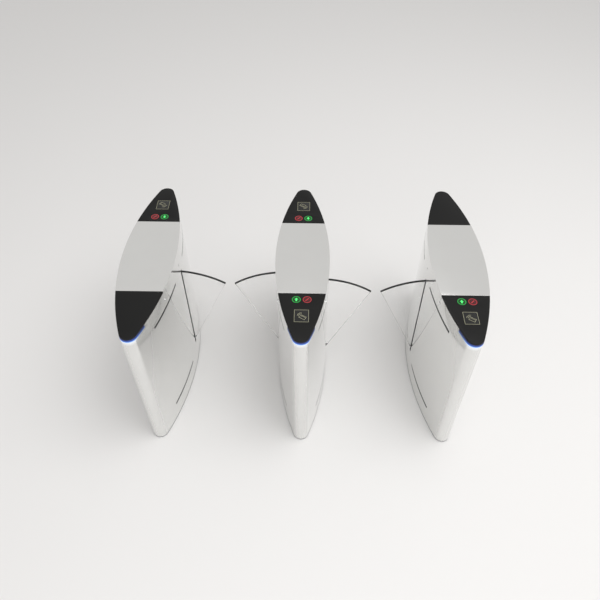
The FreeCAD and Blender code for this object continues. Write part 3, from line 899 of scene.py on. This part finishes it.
def places_mesh(name: str, places: list[Place]) -> bpy.types.Mesh:
    """A mesh of loose points that carry the direction each one faces.

    Args:
        name: Name of the mesh.
        places: Pairs of point and facing.

    Returns:
        The mesh.
    """
    mesh = bpy.data.meshes.new(name)
    mesh.from_pydata([tuple(place) for place, _ in places], [], [])
    facing = mesh.attributes.new("facing", "FLOAT_VECTOR", "POINT")
    for index, (_, way) in enumerate(places):
        facing.data[index].vector = way
    return mesh


@dataclass
class LightStrips:
    """Frosted strips that glow round each nose, a little proud of the wall."""

    surfaces: Surfaces
    thickness: float = 4.0 * MM
    proud: float = 1.2 * MM
    corner_radius: float = 1.8 * MM
    corner_steps: int = 4

    @property
    def depth(self) -> float:
        """Depth of the bar, from its seat in the wall to its face."""
        return self.thickness + self.proud

    def tree(self) -> NodeTree:
        """Build the tree that sweeps a rounded bar along a path."""
        maker = NodeTree("swept strip", {"Depth": self.depth, "Height": 20.0 * MM,
                                         "Corner Radius": self.corner_radius})
        section = maker.add("GeometryNodeCurvePrimitiveQuadrilateral", {"mode": "RECTANGLE"},
                            {"Width": maker.given["Depth"], "Height": maker.given["Height"]})
        eased = maker.add("GeometryNodeFilletCurve", {"mode": "POLY", "Count": self.corner_steps},
                          {"Curve": section.outputs[0], "Radius": maker.given["Corner Radius"]})
        path = maker.add("GeometryNodeMeshToCurve", None, {"Mesh": maker.given["Geometry"]})
        level = maker.add("GeometryNodeSetCurveNormal", {"mode": "Z_UP"}, {"Curve": path.outputs[0]})
        swept = maker.add("GeometryNodeCurveToMesh", {"Fill Caps": True},
                          {"Curve": level.outputs[0], "Profile Curve": eased.outputs[0]})
        maker.finish_with(swept.outputs[0], self.surfaces["lit blue diffuser"])
        return maker

    def path(self, name: str, plan: Plan, boxes: list[Box]) -> bpy.types.Mesh:
        """Line along the middle of each strip, round its nose.

        Args:
            name: Name of the mesh.
            plan: Plan of the cabinet.
            boxes: Boxes of the strips.

        Returns:
            The mesh of edges.
        """
        points: list[Point] = []
        edges: list[tuple[int, int]] = []
        for low, high in boxes:
            sign = 1 if low.y > 0 else -1
            start = min(abs(low.y), abs(high.y))
            line = plan.round_nose(start, self.proud - self.depth / 2, sign)
            first = len(points)
            points += [(x, y, (low.z + high.z) / 2) for x, y in line]
            edges += [(i, i + 1) for i in range(first, len(points) - 1)]
        mesh = bpy.data.meshes.new(name)
        mesh.from_pydata(points, edges, [])
        return mesh

    def build(self) -> None:
        """Make the two strips of every cabinet, as one piece each cabinet."""
        maker = self.tree()
        for cabinet in Cabinet:
            node = cabinet.value + "_light_bands"
            name = node + "_lit"
            boxes = solid_boxes(node)
            low, high = boxes[0]
            piece = maker.run(name, self.path(name, Plan.of(cabinet), boxes), {"Height": high.z - low.z})
            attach(piece, ROOT_BODY)
            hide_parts(node)
            LOG.info("swept the light strips of the %s cabinet", cabinet.value)


# ---------------------------------------------------------------------------------------------
# Flaps
# ---------------------------------------------------------------------------------------------
@dataclass
class FlapGlazing:
    """Clear flap panels with flame-polished edges, and the small steel shoe on each lower corner."""

    edge_width: float = 0.7 * MM
    shoe_length: float = 18.0 * MM
    shoe_from_wall: float = 3.0 * MM
    shoe_wall: float = 1.0 * MM
    shoe_cover: float = 5.0 * MM
    shoe_fit: float = 0.05 * MM
    shoe_edge: float = 0.35 * MM

    def panel(self, flap: Flap, surfaces: Surfaces) -> None:
        """Make one panel, clear on its faces, with a grey of painted shade on its edges."""
        node = flap.value + "_panel"
        piece = merged_copy(node, node + "_polished")
        piece.data.materials.clear()
        for finish in ("clear cast acrylic", "acrylic edge with painted shade"):
            piece.data.materials.append(surfaces[finish])
        soften(piece, self.edge_width, segments=2)
        freeze(piece)
        # edge faces take the grey edge finish, which is painted shade
        for face in piece.data.polygons:
            face.material_index = 0 if abs(face.normal.y) > 0.9 else 1
        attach(piece, flap.value + "_flap")
        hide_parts(node)

    def outer_edge(self, flap: Flap) -> tuple[Vector, Vector, float]:
        """The panel's straight outer edge.

        Args:
            flap: The flap.

        Returns:
            Its lower end, its upper end, and the sign of the side that it faces.
        """
        mesh = frame["nodes"][flap.value + "_panel"].data
        low, high = corners(flap.value + "_panel")
        hub_low, hub_high = corners(flap.value + "_hub")
        middle = (hub_low.x + hub_high.x) / 2
        facing = 1.0 if high.x - middle > middle - low.x else -1.0
        tip = max((v.co for v in mesh.vertices), key=lambda co: facing * co.x)
        foot = max((v.co for v in mesh.vertices if v.co.z < low.z + MM), key=lambda co: facing * co.x)
        plane = (low.y + high.y) / 2
        return Vector((foot.x, plane, foot.z)), Vector((tip.x, plane, tip.z)), facing

    def shoe(self, flap: Flap, surfaces: Surfaces) -> None:
        """Make the folded steel shoe that wraps the outer edge just clear of the wall."""
        foot, tip, facing = self.outer_edge(flap)
        low, high = corners(flap.value + "_panel")
        along = (tip - foot).normalized()
        out = Vector((along.z * facing, 0.0, -abs(along.x)))
        cabinet_low, cabinet_high = corners(self.cabinet_of(flap).value + "_shell")
        wall = cabinet_high.x if facing > 0 else cabinet_low.x
        start = foot + along * ((wall + facing * self.shoe_from_wall - foot.x) / along.x)
        half = (high.y - low.y) / 2
        inner, outer = half + self.shoe_fit, half + self.shoe_wall
        section = [(self.shoe_wall, -outer), (self.shoe_wall, outer), (-self.shoe_cover, outer),
                   (-self.shoe_cover, inner), (self.shoe_fit, inner), (self.shoe_fit, -inner),
                   (-self.shoe_cover, -inner), (-self.shoe_cover, -outer)]
        build = bmesh.new()
        ends = [[build.verts.new(start + along * step + out * v + Vector((0.0, w, 0.0))) for v, w in section]
                for step in (0.0, self.shoe_length)]
        build.faces.new(ends[0])
        build.faces.new(ends[1][::-1])
        for i in range(len(section)):
            j = (i + 1) % len(section)
            build.faces.new((ends[0][i], ends[0][j], ends[1][j], ends[1][i]))
        name = flap.value + "_corner_shoe"
        piece = new_object(name, mesh_from(build, name), surfaces["bright chrome plate"])
        soften(piece, self.shoe_edge, segments=2)
        freeze(piece)
        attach(piece, flap.value + "_flap")

    def cabinet_of(self, flap: Flap) -> Cabinet:
        """The cabinet that holds a flap."""
        low, high = corners(flap.value + "_hub")
        middle = (low.x + high.x) / 2
        return min(Cabinet, key=lambda cabinet: abs(Plan.of(cabinet).centre_x - middle))

    def build(self, surfaces: Surfaces) -> None:
        """Make the panel and the shoe of every flap."""
        for flap in Flap:
            self.panel(flap, surfaces)
            self.shoe(flap, surfaces)
            LOG.info("glazed %s", flap.value)


class Way(Enum):
    """Which way a walker goes past a cap: away along +Y at the front, and back at the rear."""

    OUT = 1
    BACK = -1

    @classmethod
    def at(cls, y: float) -> "Way":
        """The way at a cap, told from its place along the cabinet."""
        return cls.OUT if y < 0 else cls.BACK


@dataclass
class CapGraphics:
    """Lit signs and the reader's printed mark, as thin inlays on the caps' windows."""

    thickness: float = 0.3 * MM
    ring_outer: float = 22.5 * MM
    ring_line: float = 3.4 * MM
    steps: int = 48
    arrow_width: float = 20.0 * MM
    arrow_length: float = 22.0 * MM
    stem_width: float = 8.0 * MM
    slash_width: float = 5.0 * MM
    slash_length: float = 24.0 * MM
    slash_turn: float = 45.0
    frame_line: float = 1.8 * MM
    icon_line: float = 1.9 * MM
    card: tuple[float, float] = (34.0 * MM, 22.0 * MM)
    card_place: tuple[float, float] = (6.0 * MM, -9.0 * MM)
    card_turn: float = -30.0
    wave_radii: tuple[float, ...] = (10.0 * MM, 17.0 * MM, 24.0 * MM)
    wave_centre: tuple[float, float] = (2.0 * MM, -3.0 * MM)
    wave_arc: tuple[float, float] = (92.0, 172.0)
    wave_steps: int = 14

    def circle(self, radius: float) -> Outline:
        """Corners of a circle."""
        angles = [2 * math.pi * i / self.steps for i in range(self.steps)]
        return [(radius * math.cos(a), radius * math.sin(a)) for a in angles]

    def arrow(self) -> Outline:
        """An arrow that points along +Y."""
        half, stem, length = self.arrow_width / 2, self.stem_width / 2, self.arrow_length / 2
        return [(-stem, -length), (stem, -length), (stem, 0), (half, 0), (0, length), (-half, 0), (-stem, 0)]

    def bar(self, length: float, width: float, turn: float) -> Outline:
        """A straight bar about the origin, turned by some degrees."""
        cos, sin = math.cos(math.radians(turn)), math.sin(math.radians(turn))
        outline = [(-length / 2, -width / 2), (length / 2, -width / 2), (length / 2, width / 2),
                   (-length / 2, width / 2)]
        return [(x * cos - y * sin, x * sin + y * cos) for x, y in outline]

    def arc_band(self, radius: float, line: float, start: float, end: float) -> Outline:
        """A curved bar between two angles in degrees."""
        share = [i / self.wave_steps for i in range(self.wave_steps + 1)]
        turns = [math.radians(start + (end - start) * part) for part in share]
        far, near = radius + line / 2, radius - line / 2
        outer = [(far * math.cos(a), far * math.sin(a)) for a in turns]
        inner = [(near * math.cos(a), near * math.sin(a)) for a in reversed(turns)]
        return outer + inner

    def placed(self, outline: Outline, centre: Vector, way: Way,
               shift: tuple[float, float] = (0.0, 0.0)) -> Outline:
        """Move an outline to its cap, turned round at the rear."""
        across, along = shift
        return [(centre.x + way.value * (x + across), centre.y + way.value * (y + along)) for x, y in outline]

    def finish_piece(self, build: bmesh.types.BMesh, name: str, material: bpy.types.Material) -> None:
        """Turn a bmesh into a piece that rides on the cabinets."""
        piece = new_object(name, mesh_from(build, name), material)
        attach(piece, ROOT_BODY)

    def lamp_sign(self, name: str, centre: Vector, top: float, line: bpy.types.Material,
                  mark: bpy.types.Material, outline: Outline) -> None:
        """A lit ring and the mark inside it.

        Args:
            name: Name that both pieces start with.
            centre: Centre of the lens.
            top: Height of the lens's face.
            line: Finish of the ring.
            mark: Finish of the mark.
            outline: Plan of the mark about the centre, for a front cap.
        """
        way = Way.at(centre.y)
        ring = bmesh.new()
        outer = self.placed(self.circle(self.ring_outer), centre, way)
        inner = self.placed(self.circle(self.ring_outer - self.ring_line), centre, way)
        add_band(ring, outer, inner, top, top + self.thickness)
        self.finish_piece(ring, name + "_ring", line)
        inside = bmesh.new()
        add_prism(inside, self.placed(outline, centre, way), top, top + self.thickness)
        self.finish_piece(inside, name + "_mark", mark)

    def reader_sign(self, name: str, low: Vector, high: Vector, ink: bpy.types.Material) -> None:
        """The printed frame of a reader window, with a card and three waves inside."""
        centre = (low + high) / 2
        way = Way.at(centre.y)
        top = high.z
        face = top + self.thickness
        sign = bmesh.new()
        half_x, half_y = (high.x - low.x) / 2, (high.y - low.y) / 2
        outer = [(-half_x, -half_y), (half_x, -half_y), (half_x, half_y), (-half_x, half_y)]
        inset = self.frame_line
        inner = [(math.copysign(abs(x) - inset, x), math.copysign(abs(y) - inset, y)) for x, y in outer]
        add_band(sign, self.placed(outer, centre, way), self.placed(inner, centre, way), top, face)
        length, width = self.card
        turn = math.radians(self.card_turn)
        card = self.bar(length, width, self.card_turn)
        inner_card = self.bar(length - 2 * self.icon_line, width - 2 * self.icon_line, self.card_turn)
        add_band(sign, self.placed(card, centre, way, self.card_place),
                 self.placed(inner_card, centre, way, self.card_place), top, face)
        stripe = self.bar(length - 3 * self.icon_line, self.icon_line, self.card_turn)
        rise = width / 5
        offset = (self.card_place[0] - rise * math.sin(turn), self.card_place[1] + rise * math.cos(turn))
        add_prism(sign, self.placed(stripe, centre, way, offset), top, face)
        for radius in self.wave_radii:
            band = self.arc_band(radius, self.icon_line, *self.wave_arc)
            add_prism(sign, self.placed(band, centre, way, self.wave_centre), top, face)
        self.finish_piece(sign, name, ink)

    def build(self, surfaces: Surfaces) -> None:
        """Make the signs of every cap that has a reader."""
        for index, (low, high) in enumerate(solid_boxes("green_indicators")):
            self.lamp_sign(f"go_sign_{index}", (low + high) / 2, high.z, surfaces["lit green legend"],
                           surfaces["lit green arrow"], self.arrow())
        slash = self.bar(self.slash_length, self.slash_width, self.slash_turn)
        for index, (low, high) in enumerate(solid_boxes("red_indicators")):
            self.lamp_sign(f"stop_sign_{index}", (low + high) / 2, high.z, surfaces["lit red legend"],
                           surfaces["lit red legend"], slash)
        for index, (low, high) in enumerate(solid_boxes("reader_windows")):
            self.reader_sign(f"reader_sign_{index}", low, high, surfaces["pale sand ink"])
        LOG.info("laid the signs on the caps")


# ---------------------------------------------------------------------------------------------
# Hardware inside the cabinets
# ---------------------------------------------------------------------------------------------
@dataclass(frozen=True)
class Fastener:
    """Sizes of a screw or bolt head and of its washer, in millimetres."""

    head_radius: float
    head_height: float
    washer_radius: float
    washer_height: float
    recess: float = 0.45

    def inputs(self) -> dict[str, float]:
        """The sizes as inputs of a fastener tree."""
        return {"Head Radius": self.head_radius * MM, "Head Height": self.head_height * MM,
                "Washer Radius": self.washer_radius * MM, "Washer Height": self.washer_height * MM,
                "Recess": self.recess}


@dataclass
class Hardware:
    """Fasteners, cooling ribs and louvres of the drives and boxes, repeated by geometry trees."""

    surfaces: Surfaces
    bearing_screw: Fastener = Fastener(2.2, 1.6, 2.6, 0.3)
    gearbox_screw: Fastener = Fastener(5.0, 6.0, 6.0, 1.0)
    motor_screw: Fastener = Fastener(2.8, 2.4, 3.4, 0.4)
    foot_bolt: Fastener = Fastener(6.5, 5.3, 8.5, 1.6, 0.0)
    clamp_screw: Fastener = Fastener(4.2, 4.0, 5.0, 0.8)
    cover_screw: Fastener = Fastener(3.0, 1.8, 3.4, 0.2)
    gearbox_depth: float = 50.0 * MM
    motor_radius: float = 38.0 * MM
    bracket_foot: float = 8.0 * MM
    screw_inset: float = 8.0 * MM
    flange_inset: float = 3.2 * MM
    foot_inset: float = 18.0 * MM
    clamp_inset: float = 10.0 * MM
    clamp_count: int = 6
    rib_from_gearbox: float = 16.0 * MM
    rib_overhang: float = 2.5 * MM
    rib_pitch: float = 8.5 * MM

    def __post_init__(self) -> None:
        """Build the trees and find the brackets."""
        self.hex_bolts = self.fastener_tree("hex bolt on washer", 6, self.surfaces["zinc plated bolt"])
        self.cap_screws = self.fastener_tree("cap screw", 20, self.surfaces["black oxide screw"])
        self.ribs = self.rib_tree(self.surfaces["black enamel"])
        self.louvres = self.louvre_tree(self.surfaces["moulded black ABS"])
        self.brackets = solid_boxes("drive_brackets")

    def fastener_tree(self, name: str, sides: int, material: bpy.types.Material) -> NodeTree:
        """A bolt head with a chamfered rim and a driven recess, on a washer, at every place.

        Args:
            name: Name of the tree.
            sides: Sides of the head.
            material: Its finish.

        Returns:
            The tree.
        """
        maker = NodeTree(name, {"Head Radius": 6.5 * MM, "Head Height": 5.0 * MM, "Washer Radius": 8.0 * MM,
                                "Washer Height": 1.4 * MM, "Recess": 0.45, "Rim": 0.84})
        given = maker.given
        washer = maker.add("GeometryNodeMeshCylinder", {"Vertices": 24},
                           {"Radius": given["Washer Radius"], "Depth": given["Washer Height"]})
        half_washer = maker.sum(given["Washer Height"], 0.5, "MULTIPLY")
        washer_place = maker.raised(washer.outputs["Mesh"], half_washer)
        straight = maker.sum(given["Head Height"], 0.8, "MULTIPLY")
        head = maker.add("GeometryNodeMeshCylinder", {"Vertices": sides},
                         {"Radius": given["Head Radius"], "Depth": straight})
        rise = maker.sum(given["Head Height"], 0.2, "MULTIPLY")
        shoulder = maker.add("GeometryNodeExtrudeMesh", {"mode": "FACES"},
                             {"Mesh": head.outputs["Mesh"], "Selection": head.outputs["Top"],
                              "Offset Scale": rise})
        rim = maker.add("GeometryNodeScaleElements", None,
                        {"Geometry": shoulder.outputs["Mesh"], "Selection": shoulder.outputs["Top"],
                         "Scale": given["Rim"]})
        flat = maker.add("GeometryNodeExtrudeMesh", {"mode": "FACES", "Offset Scale": 0.0},
                         {"Mesh": rim.outputs[0], "Selection": shoulder.outputs["Top"]})
        mouth = maker.add("GeometryNodeScaleElements", None,
                          {"Geometry": flat.outputs["Mesh"], "Selection": flat.outputs["Top"],
                           "Scale": given["Recess"]})
        depth = maker.sum(given["Head Height"], -0.5, "MULTIPLY")
        sunk = maker.add("GeometryNodeExtrudeMesh", {"mode": "FACES"},
                         {"Mesh": mouth.outputs[0], "Selection": flat.outputs["Top"], "Offset Scale": depth})
        lift = maker.sum(given["Washer Height"], maker.sum(straight, 0.5, "MULTIPLY"))
        maker.finish_on_places(maker.joined(washer_place, maker.raised(sunk.outputs["Mesh"], lift)), material)
        return maker

    def rib_tree(self, material: bpy.types.Material) -> NodeTree:
        """Rows of round cooling ribs that start at every place and run back along its facing."""
        maker = NodeTree("cooling ribs", {"Count": 9, "Pitch": 9.0 * MM, "Radius": 40.0 * MM,
                                          "Thickness": 3.0 * MM})
        given = maker.given
        rib = maker.add("GeometryNodeMeshCylinder", {"Vertices": 48},
                        {"Radius": given["Radius"], "Depth": given["Thickness"]})
        step = maker.add("ShaderNodeCombineXYZ", None, {"Z": given["Pitch"]})
        row = maker.add("GeometryNodeMeshLine", None, {"Count": given["Count"], "Offset": step.outputs[0]})
        ribs = maker.add("GeometryNodeInstanceOnPoints", None,
                         {"Points": row.outputs[0], "Instance": rib.outputs["Mesh"]})
        maker.finish_on_places(ribs.outputs[0], material)
        return maker

    def louvre_tree(self, material: bpy.types.Material) -> NodeTree:
        """A block of raised louvres, centred on every place and flat against its facing."""
        maker = NodeTree("louvres", {"Columns": 2, "Rows": 8,
                                     "Column Pitch": 40.0 * MM, "Row Pitch": 8.0 * MM,
                                     "Length": 30.0 * MM, "Width": 3.0 * MM, "Height": 1.2 * MM})
        given = maker.given
        size = maker.add("ShaderNodeCombineXYZ", None,
                         {"X": given["Length"], "Y": given["Width"], "Z": given["Height"]})
        slat = maker.add("GeometryNodeMeshCube", None, {"Size": size.outputs[0]})
        top = maker.add("GeometryNodeInputNormal")
        upward = maker.add("ShaderNodeSeparateXYZ", None, {"Vector": top.outputs[0]})
        upper = maker.sum(upward.outputs["Z"], 0.5, "GREATER_THAN")
        eased = maker.add("GeometryNodeScaleElements", {"Scale": 0.75},
                          {"Geometry": slat.outputs["Mesh"], "Selection": upper})
        wide = maker.sum(maker.sum(given["Columns"], -1.0), given["Column Pitch"], "MULTIPLY")
        tall = maker.sum(maker.sum(given["Rows"], -1.0), given["Row Pitch"], "MULTIPLY")
        block = maker.add("GeometryNodeMeshGrid", None,
                          {"Size X": wide, "Size Y": tall, "Vertices X": given["Columns"],
                           "Vertices Y": given["Rows"]})
        standing = maker.raised(eased.outputs[0], maker.sum(given["Height"], 0.5, "MULTIPLY"))
        slats = maker.add("GeometryNodeInstanceOnPoints", None,
                          {"Points": block.outputs["Mesh"], "Instance": standing})
        maker.finish_on_places(slats.outputs[0], material)
        return maker

    def put(self, maker: NodeTree, name: str, body: str, places: list[Place],
            sizes: dict[str, float | int]) -> None:
        """Make one piece of repeated hardware and let it ride.

        Args:
            maker: The tree.
            name: Name of the piece.
            body: Name of the body it rides on.
            places: Pairs of point and facing.
            sizes: Values for the tree's inputs.
        """
        piece = maker.run(name, places_mesh(name, places), sizes)
        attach(piece, body)
        LOG.info("placed %s: %d", name, len(places))

    @staticmethod
    def ring(centre: Vector, radius: float, count: int, facing: Vector, start: float = 0.0
             ) -> list[Place]:
        """Places evenly round a circle that stands across the walk.

        Args:
            centre: Centre of the circle.
            radius: Its radius.
            count: Number of places.
            facing: Direction that every place faces.
            start: Angle of the first place in degrees.

        Returns:
            The places.
        """
        angles = [math.radians(start) + 2 * math.pi * i / count for i in range(count)]
        return [(centre + Vector((radius * math.cos(a), 0.0, radius * math.sin(a))), facing) for a in angles]

    def on_bearings(self) -> None:
        """Four screws in the flange of each bearing."""
        places: list[Place] = []
        for low, high in solid_boxes("flap_bearings"):
            centre = (low + high) / 2
            bracket = self.nearest(self.brackets, centre)
            outward = 1.0 if centre.y > (bracket[0].y + bracket[1].y) / 2 else -1.0
            face = high.y if outward > 0 else low.y
            radius = (high.x - low.x) / 2 - self.flange_inset
            places += self.ring(Vector((centre.x, face, centre.z)), radius, 4, Vector((0, outward, 0)), 45.0)
        self.put(self.cap_screws, "bearing_screws", ROOT_BODY, places, self.bearing_screw.inputs())

    def on_motors(self) -> None:
        """Screws of the gearboxes and of the motors' ends, and the motors' ribs."""
        gearbox_places: list[Place] = []
        end_places: list[Place] = []
        rib_places: list[Place] = []
        for low, high in solid_boxes("gear_motors"):
            centre = (low + high) / 2
            way = Vector((0, math.copysign(1.0, centre.y), 0))
            near, far = (low.y, high.y) if centre.y > 0 else (high.y, low.y)
            back = near + way.y * self.gearbox_depth
            reach = (high.x - low.x) / 2 - self.screw_inset
            end = Vector((centre.x, far, centre.z))
            gearbox_places += [(Vector((centre.x + x, back, centre.z + z)), way)
                               for x in (-reach, reach) for z in (-reach, reach)]
            end_places += self.ring(end, self.motor_radius - self.screw_inset, 4, way, 45.0)
            rib_places.append((Vector((centre.x, back + way.y * self.rib_from_gearbox, centre.z)), way))
        self.put(self.cap_screws, "gearbox_screws", ROOT_BODY, gearbox_places, self.gearbox_screw.inputs())
        self.put(self.cap_screws, "motor_end_screws", ROOT_BODY, end_places, self.motor_screw.inputs())
        self.put(self.ribs, "motor_cooling_ribs", ROOT_BODY, rib_places,
                 {"Pitch": self.rib_pitch, "Radius": self.motor_radius + self.rib_overhang})

    def on_feet(self) -> None:
        """Three bolts along the foot of each drive bracket."""
        places: list[Place] = []
        for low, high in self.brackets:
            for x in (low.x + self.foot_inset, (low.x + high.x) / 2, high.x - self.foot_inset):
                place = Vector((x, (low.y + high.y) / 2, low.z + self.bracket_foot))
                places.append((place, Vector((0, 0, 1))))
        self.put(self.hex_bolts, "bracket_foot_bolts", ROOT_BODY, places, self.foot_bolt.inputs())

    def on_hubs(self) -> None:
        """Clamp screws on the outer face of each flap's hub."""
        for flap in Flap:
            low, high = corners(flap.value + "_hub")
            panel_low, panel_high = corners(flap.value + "_panel")
            side = -math.copysign(1.0, panel_low.y + panel_high.y)
            face = low.y if side < 0 else high.y
            centre = Vector(((low.x + high.x) / 2, face, (low.z + high.z) / 2))
            radius = (high.x - low.x) / 2 - self.clamp_inset
            places = self.ring(centre, radius, self.clamp_count, Vector((0, side, 0)), 30.0)
            self.put(self.cap_screws, flap.value + "_clamp_screws", flap.value + "_flap", places,
                     self.clamp_screw.inputs())

    def on_boxes(self) -> None:
        """Louvres and cover screws of the control boxes and the power supplies."""
        screws: list[Place] = []
        for node, name, rows in (("control_boxes", "control_box_louvres", 12),
                                 ("power_supplies", "power_supply_louvres", 7)):
            blocks: list[Place] = []
            for low, high in solid_boxes(node):
                centre = (low + high) / 2
                inner = -math.copysign(1.0, centre.y)
                face = high.y if inner > 0 else low.y
                facing = Vector((0, inner, 0))
                blocks.append((Vector((centre.x, face, centre.z)), facing))
                reach_x = (high.x - low.x) / 2 - self.screw_inset
                reach_z = (high.z - low.z) / 2 - self.screw_inset
                screws += [(Vector((centre.x + x, face, centre.z + z)), facing)
                           for x in (-reach_x, reach_x) for z in (-reach_z, reach_z)]
            self.put(self.louvres, name, ROOT_BODY, blocks, {"Rows": rows})
        self.put(self.cap_screws, "box_cover_screws", ROOT_BODY, screws, self.cover_screw.inputs())

    def nearest(self, boxes: list[Box], place: Vector) -> Box:
        """The box whose middle lies nearest a place."""
        return min(boxes, key=lambda box: ((box[0] + box[1]) / 2 - place).length)

    def build(self) -> None:
        """Make all the hardware."""
        self.on_bearings()
        self.on_motors()
        self.on_feet()
        self.on_hubs()
        self.on_boxes()


# ---------------------------------------------------------------------------------------------
# Studio
# ---------------------------------------------------------------------------------------------
@dataclass
class Studio:
    """Pale floor, soft light and the camera."""

    floor_colour: str = "#E5E4E3"
    floor_size: float = 60.0
    sky_colour: str = "#ECEBEA"
    sky_strength: float = 0.80
    key_place: Point = (2.4, -0.9, 6.5)
    key_size: float = 5.0
    key_power: float = 235.0
    front_place: Point = (0.0, -6.5, 3.4)
    front_size: float = 4.0
    front_power: float = 90.0
    camera_place: Point = (0.0278, -2.3545, 3.1757)
    camera_drop: float = 47.67
    camera_turn: float = 1.04
    camera_lens: float = 35.09

    def floor(self, surfaces: Surfaces) -> None:
        """Lay the floor just under the cabinets."""
        build = bmesh.new()
        bmesh.ops.create_grid(build, x_segments=1, y_segments=1, size=self.floor_size / 2)
        mesh = mesh_from(build, "studio_floor")
        material = bpy.data.materials.new("matt studio floor")
        material.use_nodes = True
        shader = material.node_tree.nodes["Principled BSDF"]
        shader.inputs["Base Color"].default_value = srgb(self.floor_colour)
        shader.inputs["Roughness"].default_value = 0.9
        shader.inputs["Specular IOR Level"].default_value = 0.1
        ground = new_object("studio_floor", mesh, material)

    def light(self) -> None:
        """Set an even sky, one broad soft lamp from the right and a weaker one low in front."""
        world = bpy.data.worlds.new("soft studio")
        bpy.context.scene.world = world
        world.use_nodes = True
        sky = world.node_tree.nodes["Background"]
        sky.inputs["Color"].default_value = srgb(self.sky_colour)
        sky.inputs["Strength"].default_value = self.sky_strength
        self.lamp("soft key", self.key_place, self.key_size, self.key_power)
        self.lamp("soft front", self.front_place, self.front_size, self.front_power)

    def lamp(self, name: str, place: Point, size: float, power: float) -> None:
        """Hang one square lamp that faces the middle of the floor.

        Args:
            name: The lamp's name.
            place: Where it hangs.
            size: Length of its side.
            power: Its power in watts.
        """
        lamp = bpy.data.lights.new(name, "AREA")
        lamp.size = size
        lamp.energy = power
        holder = bpy.data.objects.new(name, lamp)
        bpy.context.scene.collection.objects.link(holder)
        holder.location = place
        holder.rotation_euler = (-Vector(place)).to_track_quat("-Z", "Y").to_euler()

    def camera(self) -> None:
        """Place the camera above and in front, looking down the lanes."""
        lens = bpy.data.cameras.new("view")
        lens.lens = self.camera_lens
        lens.sensor_width = 36.0
        lens.clip_end = 200.0
        holder = bpy.data.objects.new("view", lens)
        bpy.context.scene.collection.objects.link(holder)
        holder.location = self.camera_place
        holder.rotation_euler = (math.radians(90 - self.camera_drop), 0.0, math.radians(self.camera_turn))
        bpy.context.scene.camera = holder

    def build(self, surfaces: Surfaces) -> None:
        """Set up the whole studio."""
        self.camera()
        self.light()
        self.floor(surfaces)
        bpy.context.scene.view_settings.view_transform = "Standard"


def main() -> None:
    """Build the looks in order."""
    logging.basicConfig(level=logging.INFO, format="%(name)s: %(message)s")
    surfaces = Surfaces()
    Studio().build(surfaces)
    FrameDresser(surfaces).dress()
    Walls().build(surfaces)
    LightStrips(surfaces).build()
    FlapGlazing().build(surfaces)
    Hardware(surfaces).build()
    CapGraphics().build(surfaces)


if __name__ == "__main__":
    main()
